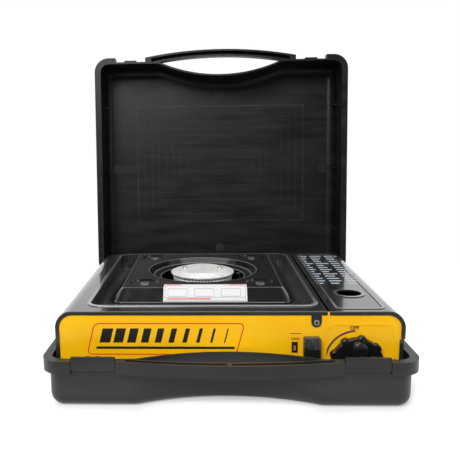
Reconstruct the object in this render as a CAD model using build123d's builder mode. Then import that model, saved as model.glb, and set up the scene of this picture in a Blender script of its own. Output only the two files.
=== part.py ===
"""Portable gas stove in its carry case.

Millimetres. The origin is the middle of the case's underside, +X is to the right,
+Y to the back and +Z up. At rest the stove stands in the open case.
"""
from build123d import *
from math import asin, atan2, cos, degrees, hypot, sin
import os

os.makedirs("parts", exist_ok=True)

# Carry case
case_side_air = 1.5  # stove to the case wall
case_front_room = 28.9  # front panel to the rim's front
case_back_room = 11.0  # stove to the rim's back
rim_height = 49.5  # ground to the parting plane
lid_depth = 58.0
lid_open_angle = 95.0
rim_gap = 0.3  # between the two rims when shut
case_wall = 2.5
case_floor = 3.0
rim_overhang = 6.0
rim_back_overhang = 2.5
rim_band = 12.5  # height of the rim band
case_corner = 20.0  # plan radius of the rim
shell_round = 13.0  # outer radius along the closed face
recess_depth = 25.0  # hand recess, measured from the rim's front
recess_end = 19.0  # from the handle's end to the hand recess
recess_lead_in = 25.0
handle_bulge = 10.0
handle_bar = 9.5
hand_hole_end = 25.0  # from the handle's end to the hand hole
hand_hole_rise = 6.3
bar_peg_radius = 2.5

# Case hinge
hinge_offset = 6.0  # axis behind the rim
hinge_inset = 70.0  # hinge middle from the case's side
knuckle_radius = 4.5
lid_knuckle = 24.0
base_knuckle = 12.0
knuckle_gap = 0.5
hinge_pin_radius = 1.6
pin_clearance = 0.05

# Case latches
latch_inset = 51.5  # latch middle from the case's side
latch_width = 42.0
latch_thickness = 3.0
latch_side_gap = 0.5
latch_drop = 7.0  # pivot below the rim
latch_foot = 2.6  # plate below the pivot
latch_rise = 4.0  # plate above the rim
latch_pin_radius = 1.4
latch_pin_length = 3.0
latch_lug = 6.0  # solid rim beside each notch
latch_air = 0.5  # plate to catch block
tooth_width = 4.0
tooth_height = 1.8
tooth_reach = 1.4
tooth_spread = 5.0
tooth_air = 0.5
catch_width = 17.0
catch_height = 9.0

# Lid mouldings
relief_side = 54.0  # case side to the first raised field
relief_end = 69.25
relief_step = 22.0
relief_height = 0.5
relief_y = -8.0
relief_count = 4
lid_pad_radius = 7.5
lid_pad_height = 0.6
lid_pad_inset = 17.0
lid_pad_front_inset = 45.0
lid_pad_back_inset = 32.5
lid_rib_depth = 5.0
lid_rib_reach = 5.5  # ribs below the stove's top when the lid is shut
lid_rib_width = 2.0
lid_rib_pitch = 92.0

# Stove body, sheet steel
stove_width = 340.0
stove_top = 90.0
panel_face = -129.1  # front panel's front
stove_back = 143.5
sheet = 0.8
edge_round = 17.0
back_round = 3.0
foot_height = 5.5
foot_radius = 8.0
foot_inset = 35.0
foot_front_inset = 24.1
foot_back_inset = 38.5
lip = 4.0  # rolled front edge over the panel
skirt_bottom = 30.0
pan_gap = 0.4  # base pan inside the skirts
pan_wall_top = 72.0
pan_front_flange = 14.0
pan_edge_round = 6.0
back_lip = 10.0
vent_count = 7
vent_pitch = 30.0
vent_length = 20.0
vent_height = 3.5
vent_z = 62.0

# Top plate and its recess
bay_width = 74.6  # top plate's right edge to the stove's side
cover_gap = 2.2  # top plate to cartridge cover
recess_side = 30.0
recess_land = 7.4
recess_front_land = 17.1
recess_back_land = 6.5
recess_corner = 12.0
recess_floor = 79.0
bead_width = 3.0
bead_height = 1.0
tab_inset = 10.4
tab_width = 10.0
tab_length = 12.0

# Pan support, stored upside down round the burner
support_air = 1.2  # flange to the recess's back
support_side_room = 31.0  # recess wider than the foot
support_wall_run = 10.5
support_corner = 14.0
support_flange = 3.0
support_rise = 13.7
support_sheet = 1.0
seat_gap = 0.2
bowl_share = 0.345  # of the foot's width, as the next ones
bowl_drop = 8.0
flame_share = 0.259
pad_x_share = 0.33
pad_y_share = 0.34
pad_share = 0.081
pad_drop = 1.2
rivet_radius = 3.5
rivet_bore = 2.2
rivet_head = 5.0
rivet_head_height = 0.8
leg_length = 30.0
leg_drop = 28.0
leg_thickness = 2.0
leg_foot_radius = 10.0

# Burner
cap_share = 0.76  # of the flame hole
cap_rim = 91.0
cap_rim_height = 1.2
cap_top = 94.6
cap_slope = 12.75
cap_sheet = 3.0
cap_overhang = 2.25
port_wall = 3.0
port_count = 60
port_width = 1.7
port_height = 2.6
head_rim = 85.6
throat_radius = 15.0
throat_bore = 9.0
throat_bottom = 33.0
throat_top = 58.0
throat_floor = 5.0
gas_line = 45.0  # height of the mixing tube and the gas way
tube_radius = 8.0
tube_wall = 1.0
tube_clearance = 0.1
bell_radius = 10.0
bell_length = 12.0
cap_screw_inset = 17.25
screw_radius = 1.5
screw_head = 3.0
screw_head_height = 1.5
screw_cross = 3.3  # length of each slot of the cross
screw_clearance = 0.1
post_radius = 3.5
screw_reach = 12.0
bracket_width = 34.0
bracket_gap = 6.0  # to the electrode's strap
bracket_sheet = 1.5
bracket_foot = 12.0
electrode_shift = 1.1  # past the middle of the flame gap
electrode_radius = 0.8
insulator_radius = 3.5
insulator_bottom = 56.0
insulator_top = 78.0
electrode_top = 88.8
electrode_tail = 6.0
electrode_tip = 4.5
electrode_tab_z = 66.0  # top of the strap that holds the insulator
electrode_strap = 12.0
insulator_flange = 1.5
lead_high = 72.0
lead_middle = 58.0
lead_low = 44.0
lead_turn = 35.4
lead_bend = 4.0

# Gas controls
knob_inset = 46.0
knob_z = 39.5
knob_radius = 25.0
knob_lobes = 9
lobe_radius = 5.0
lobe_ring = 22.5
knob_air = 1.5
dial_frame_reach = 30.4
dial_frame_side = 9.0
dial_frame_top = 77.4
dial_frame_bottom = 14.0
dial_frame_corner = 10.0
dial_frame_width = 1.6
dial_frame_height = 0.5
knob_disc = 6.0
grip_width = 15.0
grip_length = 47.0
grip_height = 8.5
spindle_radius = 4.0
spindle_hole = 6.0
spindle_in_knob = 10.0
spindle_in_valve = 18.0
valve_width = 36.0
valve_height = 32.0
valve_gap = 4.3
valve_length = 28.0
governor_radius = 25.0
governor_length = 24.8
governor_bracket_sheet = 1.2
governor_plate_width = 42.0
governor_plate_height = 58.0
governor_foot = 14.0
collar_radius = 13.0
collar_bore = 8.0
collar_length = 17.2
outlet_radius = 7.0
outlet_gap = 5.6
outlet_root = 13.7
outlet_back = 12.0  # gas way behind the valve, at outlet_side from the cartridge's axis
outlet_side = 19.7
nozzle_radius = 3.5
nozzle_bore = 0.6
nozzle_hex = 4.6
nozzle_hex_length = 3.0
nozzle_tip = 5.4
bell_gap = 9.4
igniter_width = 12.0
igniter_gap = 6.3
igniter_length = 24.0
igniter_bottom = 44.0
lead_radius = 1.1
cartridge_side = 38.3
cartridge_z = 45.0
rest_pitch = 90.0
rest_end = 33.5
rest_width = 33.0
rest_depth = 8.0
rest_height = 1.5

# Cartridge cover
cover_skirt_bottom = 62.0
cover_hinge_inset = 2.4
cover_hinge_drop = 3.0
cover_pin_radius = 1.2
cover_pin_reach = 3.5
ear_sheet = 1.2
ear_width = 10.4
ear_depth = 5.7
sight_side = 40.0
sight_front = 62.1
sight_radius = 12.75
sight_rim = 16.5
sight_rim_height = 0.8
notch_y = 8.0
notch_radius = 11.0
tongue_slot = 6.4
tongue_width = 1.4
cover_frame_inset = 7.0
cover_frame_width = 2.2
cover_frame_height = 0.7

# Lock lever, crank and cartridge hook
lever_inset = 14.9
lever_z = 55.0
lever_width = 16.0
lever_height = 20.0
lever_depth = 8.0
lever_air = 1.0
lever_rib = 1.6
lever_rib_count = 5
stem_width = 6.0
stem_height = 8.0
lever_travel = 12.0
slot_air = 0.5
slide_sheet = 1.2
slide_width = 12.0
slide_shift = 2.5
slide_bottom = 40.0
slide_top = 72.0
slide_gap = 1.7  # front panel to the slide
link_pin_radius = 1.5
link_air = 0.45
crank_back = 23.1
crank_z = 55.0
crank_reach = 16.0
crank_sheet = 1.6
crank_width = 7.2
crank_hub = 4.6
crank_inset = 9.4
crank_pin_radius = 2.0
crank_arm = 8.0
crank_air = 0.8
lever_bracket_rear = 8.0
lever_bracket_fore = 10.0
lever_bracket_foot = 8.0
hook_sheet = 2.0
hook_nose = 12.0
hook_tail = 62.0
hook_bottom = 58.0
hook_top = 68.0
hook_finger = 3.0
hook_finger_end = 4.5
hook_finger_reach = 2.0  # past the heat shield
hook_slot_air = 1.4
slide_air = 0.3
shield_foot = 8.0
ledge_rear = 14.0
ledge_length = 8.0
ledge_height = 2.5
guide_rail = 2.3
guide_height = 20.0
spring_radius = 2.8
spring_wall = 0.8
spring_offset = 2.2  # behind the slide's front
lead_notch_rear = 2.0
lead_notch = 12.0
lead_notch_depth = 14.0

# Derived places of the case
half_width = stove_width / 2
case_width = stove_width + 2 * (case_side_air + case_wall + rim_overhang)
case_front = case_front_room - panel_face
case_back = stove_back + case_back_room
case_depth = case_front + case_back
rim_mid = (case_back - case_front) / 2
wall_width = case_width - 2 * rim_overhang
wall_front = case_front - rim_overhang
wall_back = case_back - rim_back_overhang
wall_depth = wall_front + wall_back
wall_mid = (wall_back - wall_front) / 2
wall_corner = case_corner - rim_overhang
latch_x = case_width / 2 - latch_inset
notch_half = latch_width / 2 + latch_side_gap
handle_half = latch_x - notch_half
recess_half = handle_half - recess_end
hand_hole_half = handle_half - hand_hole_end
recess_face = case_front - recess_depth
recess_sag = wall_front - recess_face
recess_radius = (recess_half**2 + recess_sag**2) / (2 * recess_sag)
recess_centre = -recess_face - recess_radius
bar_inner = case_front + handle_bulge - handle_bar
bar_radius = (hand_hole_half**2 + hand_hole_rise**2) / (2 * hand_hole_rise)
bar_centre = bar_radius - bar_inner
hinge_station = case_width / 2 - hinge_inset
hinge_y = case_back + hinge_offset
lid_rim = rim_height + rim_gap
lid_panel = lid_rim + lid_depth
relief_width = case_width - 2 * relief_side
relief_length = case_depth - 2 * relief_end
lid_pad_side = wall_width / 2 - lid_pad_inset
lid_pad_front = lid_pad_front_inset - case_front
lid_pad_back = case_back - lid_pad_back_inset
latch_pivot_z = rim_height - latch_drop
latch_face = case_front - latch_side_gap
latch_pivot_y = -latch_face + latch_thickness / 2

# Derived places of the stove's shell
lip_face = panel_face - sheet
panel_back = panel_face + sheet
pan_bottom = case_floor + foot_height
pan_floor = pan_bottom + sheet
pan_half = half_width - sheet - pan_gap
pan_back = stove_back - sheet - seat_gap
pan_inner_back = pan_back - sheet
split_x = half_width - bay_width
cover_left = split_x + cover_gap
cover_hinge_x = cover_left + cover_hinge_inset
cover_hinge_z = stove_top - cover_hinge_drop
shield_x = split_x - sheet
recess_left = recess_side - half_width
recess_right = split_x - recess_land
recess_front = panel_face + recess_front_land
recess_back = stove_back - recess_back_land
recess_width = recess_right - recess_left
recess_length = recess_back - recess_front
recess_middle = ((recess_left + recess_right) / 2, (recess_front + recess_back) / 2)
tab_x = split_x - tab_inset
foot_x = half_width - foot_inset
foot_front = panel_face + foot_front_inset
foot_back = stove_back - foot_back_inset
sight_x = half_width - sight_side
sight_y = panel_face + sight_front

# Derived places of the pan support and the burner
support_foot = recess_width - support_side_room
support_top = support_foot - 2 * support_wall_run
bowl_radius = bowl_share * support_foot
flame_hole = flame_share * support_foot
pad_x = pad_x_share * support_foot
pad_y = pad_y_share * support_foot
pad_radius = pad_share * support_foot
burner_x = recess_middle[0]
burner_y = recess_back - sheet - support_air - support_flange - support_foot / 2
cap_radius = cap_share * flame_hole
port_ring = cap_radius - cap_overhang
cap_flat = cap_radius - cap_slope
cap_screw_offset = cap_radius - cap_screw_inset
electrode_offset = (cap_radius + flame_hole) / 2 + electrode_shift
bracket_length = 2 * (electrode_offset - electrode_strap / 2 - bracket_gap)

# Derived places of the gas controls and the lock
knob_x = half_width - knob_inset
dial_frame_left = knob_x - dial_frame_reach
dial_frame_right = half_width - dial_frame_side
valve_front = panel_back + valve_gap
valve_back = valve_front + valve_length
governor_back = valve_back + governor_length
collar_back = governor_back + collar_length
cartridge_x = half_width - cartridge_side
outlet_x = split_x + outlet_gap
outlet_root_x = cartridge_x - outlet_root
outlet_line_x = cartridge_x - outlet_side
outlet_line_y = valve_back + outlet_back
nozzle_tip_x = split_x - nozzle_tip
bell_x = split_x - bell_gap
igniter_front = panel_back + igniter_gap
rest_back = stove_back - rest_end
rest_front = rest_back - rest_pitch
lever_x = split_x - lever_inset
slide_x = lever_x - slide_shift
slide_y = panel_back + slide_gap
crank_x = split_x - crank_inset
crank_y = panel_face + crank_back
crank_swing = 2 * asin(lever_travel / 2 / hypot(crank_reach, lever_travel / 2))
lever_bracket_x = crank_x + crank_sheet + crank_air
lever_bracket_front = crank_y - lever_bracket_fore
lever_bracket_back = crank_y + lever_bracket_rear
hook_x = lever_bracket_x + slide_sheet + pan_gap
hook_travel = 2 * crank_arm * sin(crank_swing / 2)
hook_front = crank_y - hook_nose
hook_back = crank_y + hook_tail
hook_finger_y = hook_back - hook_finger_end
ledge_y = crank_y + ledge_rear
lead_notch_y = crank_y + lead_notch_rear
lead_turn_x = split_x - lead_turn
gas_run = (outlet_line_x - burner_x, outlet_line_y - burner_y)
gas_length = hypot(*gas_run)
gas_way = (gas_run[0] / gas_length, gas_run[1] / gas_length)


def front_plane(y):
    """Upright plane at depth y: sketch x is X, sketch y is Z, and it faces the front."""
    return Plane.XZ.offset(-y)


def side_plane(x):
    """Upright plane at width x: sketch x is Y, sketch y is Z, and it faces right."""
    return Plane.YZ.offset(x)


def gas_plane(x):
    """Plane square to the gas way where it passes width x, facing away from the burner."""
    along = (x - burner_x) / gas_way[0]
    return Plane(
        origin=(x, burner_y + along * gas_way[1], gas_line),
        x_dir=(-gas_way[1], gas_way[0], 0),
        z_dir=(gas_way[0], gas_way[1], 0),
    )


def gas_reach(x_from, x_to):
    """Length along the gas way between two widths."""
    return abs(x_to - x_from) / gas_way[0]


def write(piece, name):
    """Name one finished piece and write its file."""
    piece.label = name
    export_step(piece, f"parts/{name}.step")


# Case plan, shared by the base and the lid
def wall_plan(inset):
    """Plan of the case wall, moved inwards by inset, with the hand recess in its front."""
    with BuildSketch() as plan:
        with Locations((0, wall_mid)):
            RectangleRounded(wall_width - 2 * inset, wall_depth - 2 * inset, wall_corner - inset)
        with Locations((0, recess_centre)):
            Circle(recess_radius + inset, mode=Mode.SUBTRACT)
        lead_in = plan.vertices().group_by(Axis.Y)[0].sort_by(lambda v: abs(v.X))[:2]
        fillet(lead_in, recess_lead_in)
    return plan.sketch


def rim_plan(inset):
    """Plan of the rim with the handle's bulge, moved inwards by inset."""
    half = handle_half - inset
    with BuildSketch() as plan:
        with Locations((0, rim_mid)):
            RectangleRounded(case_width - 2 * inset, case_depth - 2 * inset, case_corner - inset)
        with BuildLine():
            ThreePointArc(
                (-half, inset - case_front), (0, inset - case_front - handle_bulge), (half, inset - case_front)
            )
            Line((half, inset - case_front), (-half, inset - case_front))
        make_face()
    return plan.sketch


def hand_hole(grow):
    """Lens between the hand recess and the handle's bar, widened by grow."""
    with BuildSketch() as lens:
        with Locations((0, recess_centre)):
            Circle(recess_radius + grow)
        with Locations((0, bar_centre)):
            Circle(bar_radius + grow, mode=Mode.INTERSECT)
    return lens.sketch


def tray(bottom, inset, height, rounding):
    """Solid block of the case wall's plan, standing on the plane bottom with that edge rounded."""
    with BuildPart() as block:
        with BuildSketch(bottom):
            add(wall_plan(inset))
        extrude(amount=height)
        fillet(block.faces().sort_by(Axis(bottom.origin, bottom.z_dir))[0].edges(), rounding)
    return block.part


def half_shell(closed_face, depth, floor):
    """One half of the case: closed_face is its shut side, and its rim is depth away."""
    with BuildPart() as half:
        add(tray(closed_face, 0, depth, shell_round))
        with BuildSketch(closed_face.offset(depth - rim_band)):
            add(rim_plan(0))
            add(hand_hole(0), mode=Mode.SUBTRACT)
        extrude(amount=rim_band)
        add(tray(closed_face.offset(floor), case_wall, depth, shell_round - case_wall), mode=Mode.SUBTRACT)
        # groove under the rim, with solid stretches at the handle, the latches and the back
        with BuildSketch(closed_face.offset(depth - rim_band)):
            add(rim_plan(case_wall))
            add(wall_plan(0), mode=Mode.SUBTRACT)
            with Locations((0, -case_front)):
                Rectangle(2 * (latch_x + notch_half + latch_lug), 2 * recess_depth, mode=Mode.SUBTRACT)
            with Locations((0, case_back)):
                Rectangle(case_width, 2 * case_corner, mode=Mode.SUBTRACT)
        extrude(amount=rim_band - case_wall, mode=Mode.SUBTRACT)
        # open trough of the half handle
        with BuildSketch(closed_face.offset(depth - rim_band + case_wall)):
            add(rim_plan(case_wall))
            add(wall_plan(0), mode=Mode.SUBTRACT)
            add(hand_hole(case_wall), mode=Mode.SUBTRACT)
            with Locations((0, -case_front)):
                Rectangle(2 * (handle_half - case_wall - latch_lug), 2 * recess_depth, mode=Mode.INTERSECT)
        extrude(amount=rim_band, mode=Mode.SUBTRACT)
        with BuildSketch(closed_face.offset(depth - rim_band)):
            with Locations((-latch_x, -case_front), (latch_x, -case_front)):
                Rectangle(2 * notch_half, 2 * rim_overhang)
        extrude(amount=rim_band, mode=Mode.SUBTRACT)
    return half.part


def knuckles(centres, length, low, high):
    """Hinge knuckles of one half: bored barrels joined to the rim's back between low and high."""
    with BuildPart() as row:
        for x in centres:
            with BuildSketch(side_plane(x - length / 2)):
                with Locations((hinge_y, rim_height)):
                    Circle(knuckle_radius)
                with Locations((hinge_y - hinge_offset / 2 - case_wall / 2, (low + high) / 2)):
                    Rectangle(hinge_offset + case_wall, high - low)
                with Locations((hinge_y, rim_height)):
                    Circle(hinge_pin_radius + pin_clearance, mode=Mode.SUBTRACT)
            extrude(amount=length)
    return row.part


base_knuckle_x = [
    side * hinge_station + end * (lid_knuckle / 2 + knuckle_gap + base_knuckle / 2)
    for side in (-1, 1)
    for end in (-1, 1)
]
lid_knuckle_x = [-hinge_station, hinge_station]

with BuildPart() as case_base:
    add(half_shell(Plane.XY, rim_height, case_floor))
    add(knuckles(base_knuckle_x, base_knuckle, rim_height - knuckle_radius, rim_height))
    with BuildSketch(Plane.XY.offset(rim_height - rim_band)):
        with Locations((0, -bar_inner - handle_bar / 2)):
            Circle(bar_peg_radius)
    extrude(amount=rim_band)
    for x in (-latch_x, latch_x):
        with BuildSketch(side_plane(x - notch_half - latch_pin_length)):
            with Locations((latch_pivot_y, latch_pivot_z)):
                Circle(latch_pin_radius + pin_clearance)
        extrude(amount=2 * (notch_half + latch_pin_length), mode=Mode.SUBTRACT)
write(case_base.part, "case_base")

lid_face = Plane(origin=(0, 0, lid_panel), x_dir=(-1, 0, 0), z_dir=(0, 0, -1))
hinge_axis = Axis((0, hinge_y, rim_height), (1, 0, 0))
catch_face = latch_pivot_y + latch_thickness / 2 + latch_air
tooth_z = rim_height + latch_rise - tooth_height / 2
with BuildPart() as case_lid:
    add(half_shell(lid_face, lid_depth, case_wall))
    add(knuckles(lid_knuckle_x, lid_knuckle, lid_rim, lid_rim + knuckle_radius))
    for n in range(relief_count):
        with BuildSketch(lid_face.offset(case_wall)):
            with Locations((0, relief_y)):
                RectangleRounded(
                    relief_width - 2 * n * relief_step, relief_length - 2 * n * relief_step, relief_step / 4
                )
        extrude(amount=(n + 1) * relief_height)
    with BuildSketch(lid_face.offset(case_wall)):
        with Locations((-lid_pad_side, 0), (lid_pad_side, 0), (0, lid_pad_front), (0, lid_pad_back)):
            Circle(lid_pad_radius)
    extrude(amount=lid_pad_height)
    rib_outer = wall_width - case_wall
    rib_inner = wall_width - 2 * case_wall - 2 * lid_rib_depth
    with BuildSketch(lid_face.offset(shell_round)):
        with GridLocations((rib_outer + rib_inner) / 2, lid_rib_pitch, 2, 3):
            Rectangle((rib_outer - rib_inner) / 2, lid_rib_width)
    extrude(amount=lid_panel - shell_round - stove_top + lid_rib_reach)
    with BuildSketch(Plane.XY.offset(lid_rim)):
        for x in (-latch_x, latch_x):
            with Locations((x, catch_face)):
                Rectangle(catch_width, case_wall - wall_front - catch_face, align=(Align.CENTER, Align.MIN))
        add(wall_plan(case_wall / 2), mode=Mode.SUBTRACT)
    extrude(amount=catch_height)
    with BuildSketch(front_plane(catch_face)):
        for x in (-latch_x, latch_x):
            with Locations((x, tooth_z)):
                with GridLocations(2 * tooth_spread, 0, 2, 1):
                    Rectangle(tooth_width + 2 * tooth_air, tooth_height + 2 * tooth_air)
    extrude(amount=-(tooth_reach + tooth_air - latch_air), mode=Mode.SUBTRACT)
write(case_lid.part.rotate(hinge_axis, -lid_open_angle), "case_lid")

with BuildPart() as case_hinge_pins:
    for x in lid_knuckle_x:
        half_pin = lid_knuckle / 2 + knuckle_gap + base_knuckle
        with BuildSketch(side_plane(x - half_pin)):
            with Locations((hinge_y, rim_height)):
                Circle(hinge_pin_radius)
        extrude(amount=2 * half_pin)
write(case_hinge_pins.part, "case_hinge_pins")


def latch(x):
    """Snap latch in the base's notch at x: a plate on two stub pins with two teeth at its top."""
    with BuildPart() as plate:
        with BuildSketch(front_plane(-latch_face)):
            with Locations((x, latch_pivot_z - latch_foot)):
                Rectangle(latch_width, latch_foot + latch_drop + latch_rise, align=(Align.CENTER, Align.MIN))
        extrude(amount=-latch_thickness)
        fillet(plate.edges().filter_by(Axis.X).group_by(Axis.Z)[0], latch_thickness / 2 - latch_air)
        with BuildSketch(side_plane(x - latch_width / 2 - latch_pin_length)):
            with Locations((latch_pivot_y, latch_pivot_z)):
                Circle(latch_pin_radius)
        extrude(amount=latch_width + 2 * latch_pin_length)
        with BuildSketch(front_plane(latch_pivot_y)):
            with Locations((x, tooth_z)):
                with GridLocations(2 * tooth_spread, 0, 2, 1):
                    Rectangle(tooth_width, tooth_height)
        extrude(amount=-latch_thickness / 2 - tooth_reach)
    return plate.part


write(latch(-latch_x), "latch_left")
write(latch(latch_x), "latch_right")


# Stove shell
def shell_block(left, right, low, inset, rounded, front, back, ease=0.0, foot_round=0.0):
    """Solid arch from front to back, low to the top, rounded at the named sides, its back and its foot."""
    top = stove_top - inset
    square = {-1: left, 1: right}
    for side in rounded:
        square.pop(side)
    with BuildPart() as block:
        with BuildSketch(front_plane(front)) as view:
            with BuildLine():
                Polyline((left, low), (left, top), (right, top), (right, low), close=True)
            make_face()
            top_corners = view.vertices().group_by(Axis.Y)[-1].sort_by(Axis.X)
            fillet([top_corners[0 if side < 0 else -1] for side in rounded], edge_round - inset)
        extrude(amount=front - back)
        if foot_round > 0:
            fillet(block.faces().sort_by(Axis.Z)[0].edges().filter_by(Axis.Y), foot_round)
        if ease > 0:
            outline = block.faces().sort_by(Axis.Y)[-1].edges().filter_by(lambda e: e.center().Z > low + sheet)
            for x in square.values():
                outline = outline.filter_by(lambda e: abs(e.center().X - x) > sheet)
            fillet(outline, ease)
    return block.part


pan_inset = sheet + pan_gap
room_inset = pan_inset + sheet
both_sides = (-1, 1)
pan_block = shell_block(
    -pan_half,
    pan_half,
    pan_bottom,
    pan_inset,
    both_sides,
    panel_back,
    pan_back,
    back_round - pan_inset,
    pan_edge_round,
)
pan_room = shell_block(
    sheet - pan_half,
    pan_half - sheet,
    pan_floor,
    room_inset,
    both_sides,
    panel_back + sheet,
    pan_inner_back,
    back_round - room_inset,
    pan_edge_round - sheet,
)
with BuildPart() as base_pan:
    add(pan_block)
    add(pan_room, mode=Mode.SUBTRACT)
    with BuildSketch(front_plane(panel_back)):
        with Locations((0, pan_wall_top)):
            Rectangle(stove_width, stove_top, align=(Align.CENTER, Align.MIN))
    extrude(amount=panel_back - pan_inner_back, mode=Mode.SUBTRACT)
    with BuildSketch(front_plane(panel_back)):
        with Locations((0, pan_front_flange)):
            Rectangle(2 * (pan_half - lip), stove_top, align=(Align.CENTER, Align.MIN))
    extrude(amount=-sheet, mode=Mode.SUBTRACT)
    # right border of the front, below the cover's skirt
    border_height = cover_skirt_bottom - pan_gap - skirt_bottom
    for width, depth in ((lip, sheet), (sheet, panel_back - lip_face)):
        with BuildSketch(front_plane(lip_face)):
            with Locations((pan_half, skirt_bottom)):
                Rectangle(width, border_height, align=(Align.MAX, Align.MIN))
        extrude(amount=-depth)
    with BuildSketch(front_plane(pan_back)):
        with Locations((0, vent_z)):
            with GridLocations(vent_pitch, 0, vent_count, 1):
                SlotOverall(vent_length, vent_height)
    extrude(amount=2 * sheet, mode=Mode.SUBTRACT)
write(base_pan.part, "base_pan")

panel_half = pan_half - 2 * sheet
tab_screw_z = stove_top - lip - tab_length + tab_width / 2
with BuildPart() as front_panel:
    add(shell_block(-panel_half, panel_half, pan_floor, 2 * sheet, (-1, 1), panel_face, panel_back))
    fillet(front_panel.edges().filter_by(Axis.Y).group_by(Axis.Z)[0], edge_round)
    with BuildSketch(front_plane(panel_back)):
        with Locations(((split_x + cover_left) / 2, stove_top - sheet)):
            Rectangle(tongue_width, 2 * lip, align=(Align.CENTER, Align.MAX))
    extrude(amount=sheet)
    with BuildSketch(front_plane(panel_back)):
        with Locations((knob_x, knob_z)):
            Circle(spindle_hole)
        with Locations((lever_x, lever_z - lever_travel / 2)):
            Rectangle(stem_width + 2 * slot_air, stem_height + lever_travel + 2 * slot_air)
        with Locations((tab_x, tab_screw_z)):
            Circle(screw_radius + screw_clearance)
    extrude(amount=sheet, mode=Mode.SUBTRACT)
    # raised border round the knob
    frame_width = dial_frame_right - dial_frame_left
    frame_height = dial_frame_top - dial_frame_bottom
    with BuildSketch(front_plane(panel_face)):
        with Locations(((dial_frame_left + dial_frame_right) / 2, (dial_frame_top + dial_frame_bottom) / 2)):
            RectangleRounded(frame_width, frame_height, dial_frame_corner)
            RectangleRounded(
                frame_width - 2 * dial_frame_width,
                frame_height - 2 * dial_frame_width,
                dial_frame_corner - dial_frame_width,
                mode=Mode.SUBTRACT,
            )
    extrude(amount=dial_frame_height)
write(front_panel.part, "front_panel")

well_half = support_foot / 2 - pad_radius / 2
with BuildPart() as top_plate:
    add(shell_block(-half_width, split_x, skirt_bottom, 0, (-1,), lip_face, stove_back, back_round))
    inner_left = sheet - half_width
    room = shell_block(
        inner_left, split_x - sheet, 0, sheet, (-1,), panel_face, stove_back - sheet, back_round - sheet
    )
    add(room, mode=Mode.SUBTRACT)
    add(shell_block(inner_left, split_x, 0, sheet, (-1,), panel_face, panel_back + seat_gap), mode=Mode.SUBTRACT)
    back_room = shell_block(
        inner_left,
        split_x,
        0,
        sheet,
        (-1,),
        pan_inner_back - lip,
        stove_back - sheet,
        back_round - sheet,
    )
    add(back_room, mode=Mode.SUBTRACT)
    add(shell_block(lip - half_width, split_x, 0, lip, (-1,), lip_face, panel_face), mode=Mode.SUBTRACT)
    # the right flange and the back stop short of the floor
    with BuildSketch(front_plane(panel_face)):
        with Locations((split_x - sheet, stove_top - back_lip)):
            Rectangle(2 * sheet, stove_top, align=(Align.MIN, Align.MAX))
    extrude(amount=panel_face - stove_back, mode=Mode.SUBTRACT)
    with BuildSketch(front_plane(stove_back)):
        with Locations((split_x, stove_top - back_lip)):
            Rectangle(split_x + half_width - back_round, stove_top, align=(Align.MAX, Align.MAX))
    extrude(amount=2 * sheet, mode=Mode.SUBTRACT)
    with BuildSketch(Plane.XY.offset(recess_floor - sheet)):
        with Locations(recess_middle):
            RectangleRounded(recess_width, recess_length, recess_corner)
    extrude(amount=stove_top - recess_floor + sheet)
    with BuildSketch(Plane.XY.offset(recess_floor)):
        with Locations(recess_middle):
            RectangleRounded(recess_width - 2 * sheet, recess_length - 2 * sheet, recess_corner - sheet)
    extrude(amount=stove_top, mode=Mode.SUBTRACT)
    with BuildSketch(Plane.XY.offset(recess_floor)):
        with Locations((burner_x, burner_y)):
            RectangleRounded(2 * well_half, 2 * well_half, recess_corner)
    extrude(amount=-2 * sheet, mode=Mode.SUBTRACT)
    with BuildSketch(Plane.XY.offset(stove_top)):
        with Locations(recess_middle):
            RectangleRounded(
                recess_width + 2 * bead_width, recess_length + 2 * bead_width, recess_corner + bead_width
            )
            RectangleRounded(
                recess_width - 2 * sheet, recess_length - 2 * sheet, recess_corner - sheet, mode=Mode.SUBTRACT
            )
    extrude(amount=bead_height)
    fillet(top_plate.faces().sort_by(Axis.Z)[-1].outer_wire().edges(), bead_height * 0.9)
    with BuildSketch(front_plane(panel_face)):
        with Locations((tab_x, stove_top)):
            Rectangle(tab_width, lip + tab_length - tab_width / 2, align=(Align.CENTER, Align.MAX))
        with Locations((tab_x, tab_screw_z)):
            Circle(tab_width / 2)
            Circle(screw_radius + screw_clearance, mode=Mode.SUBTRACT)
    extrude(amount=sheet)
write(top_plate.part, "top_plate")

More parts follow.
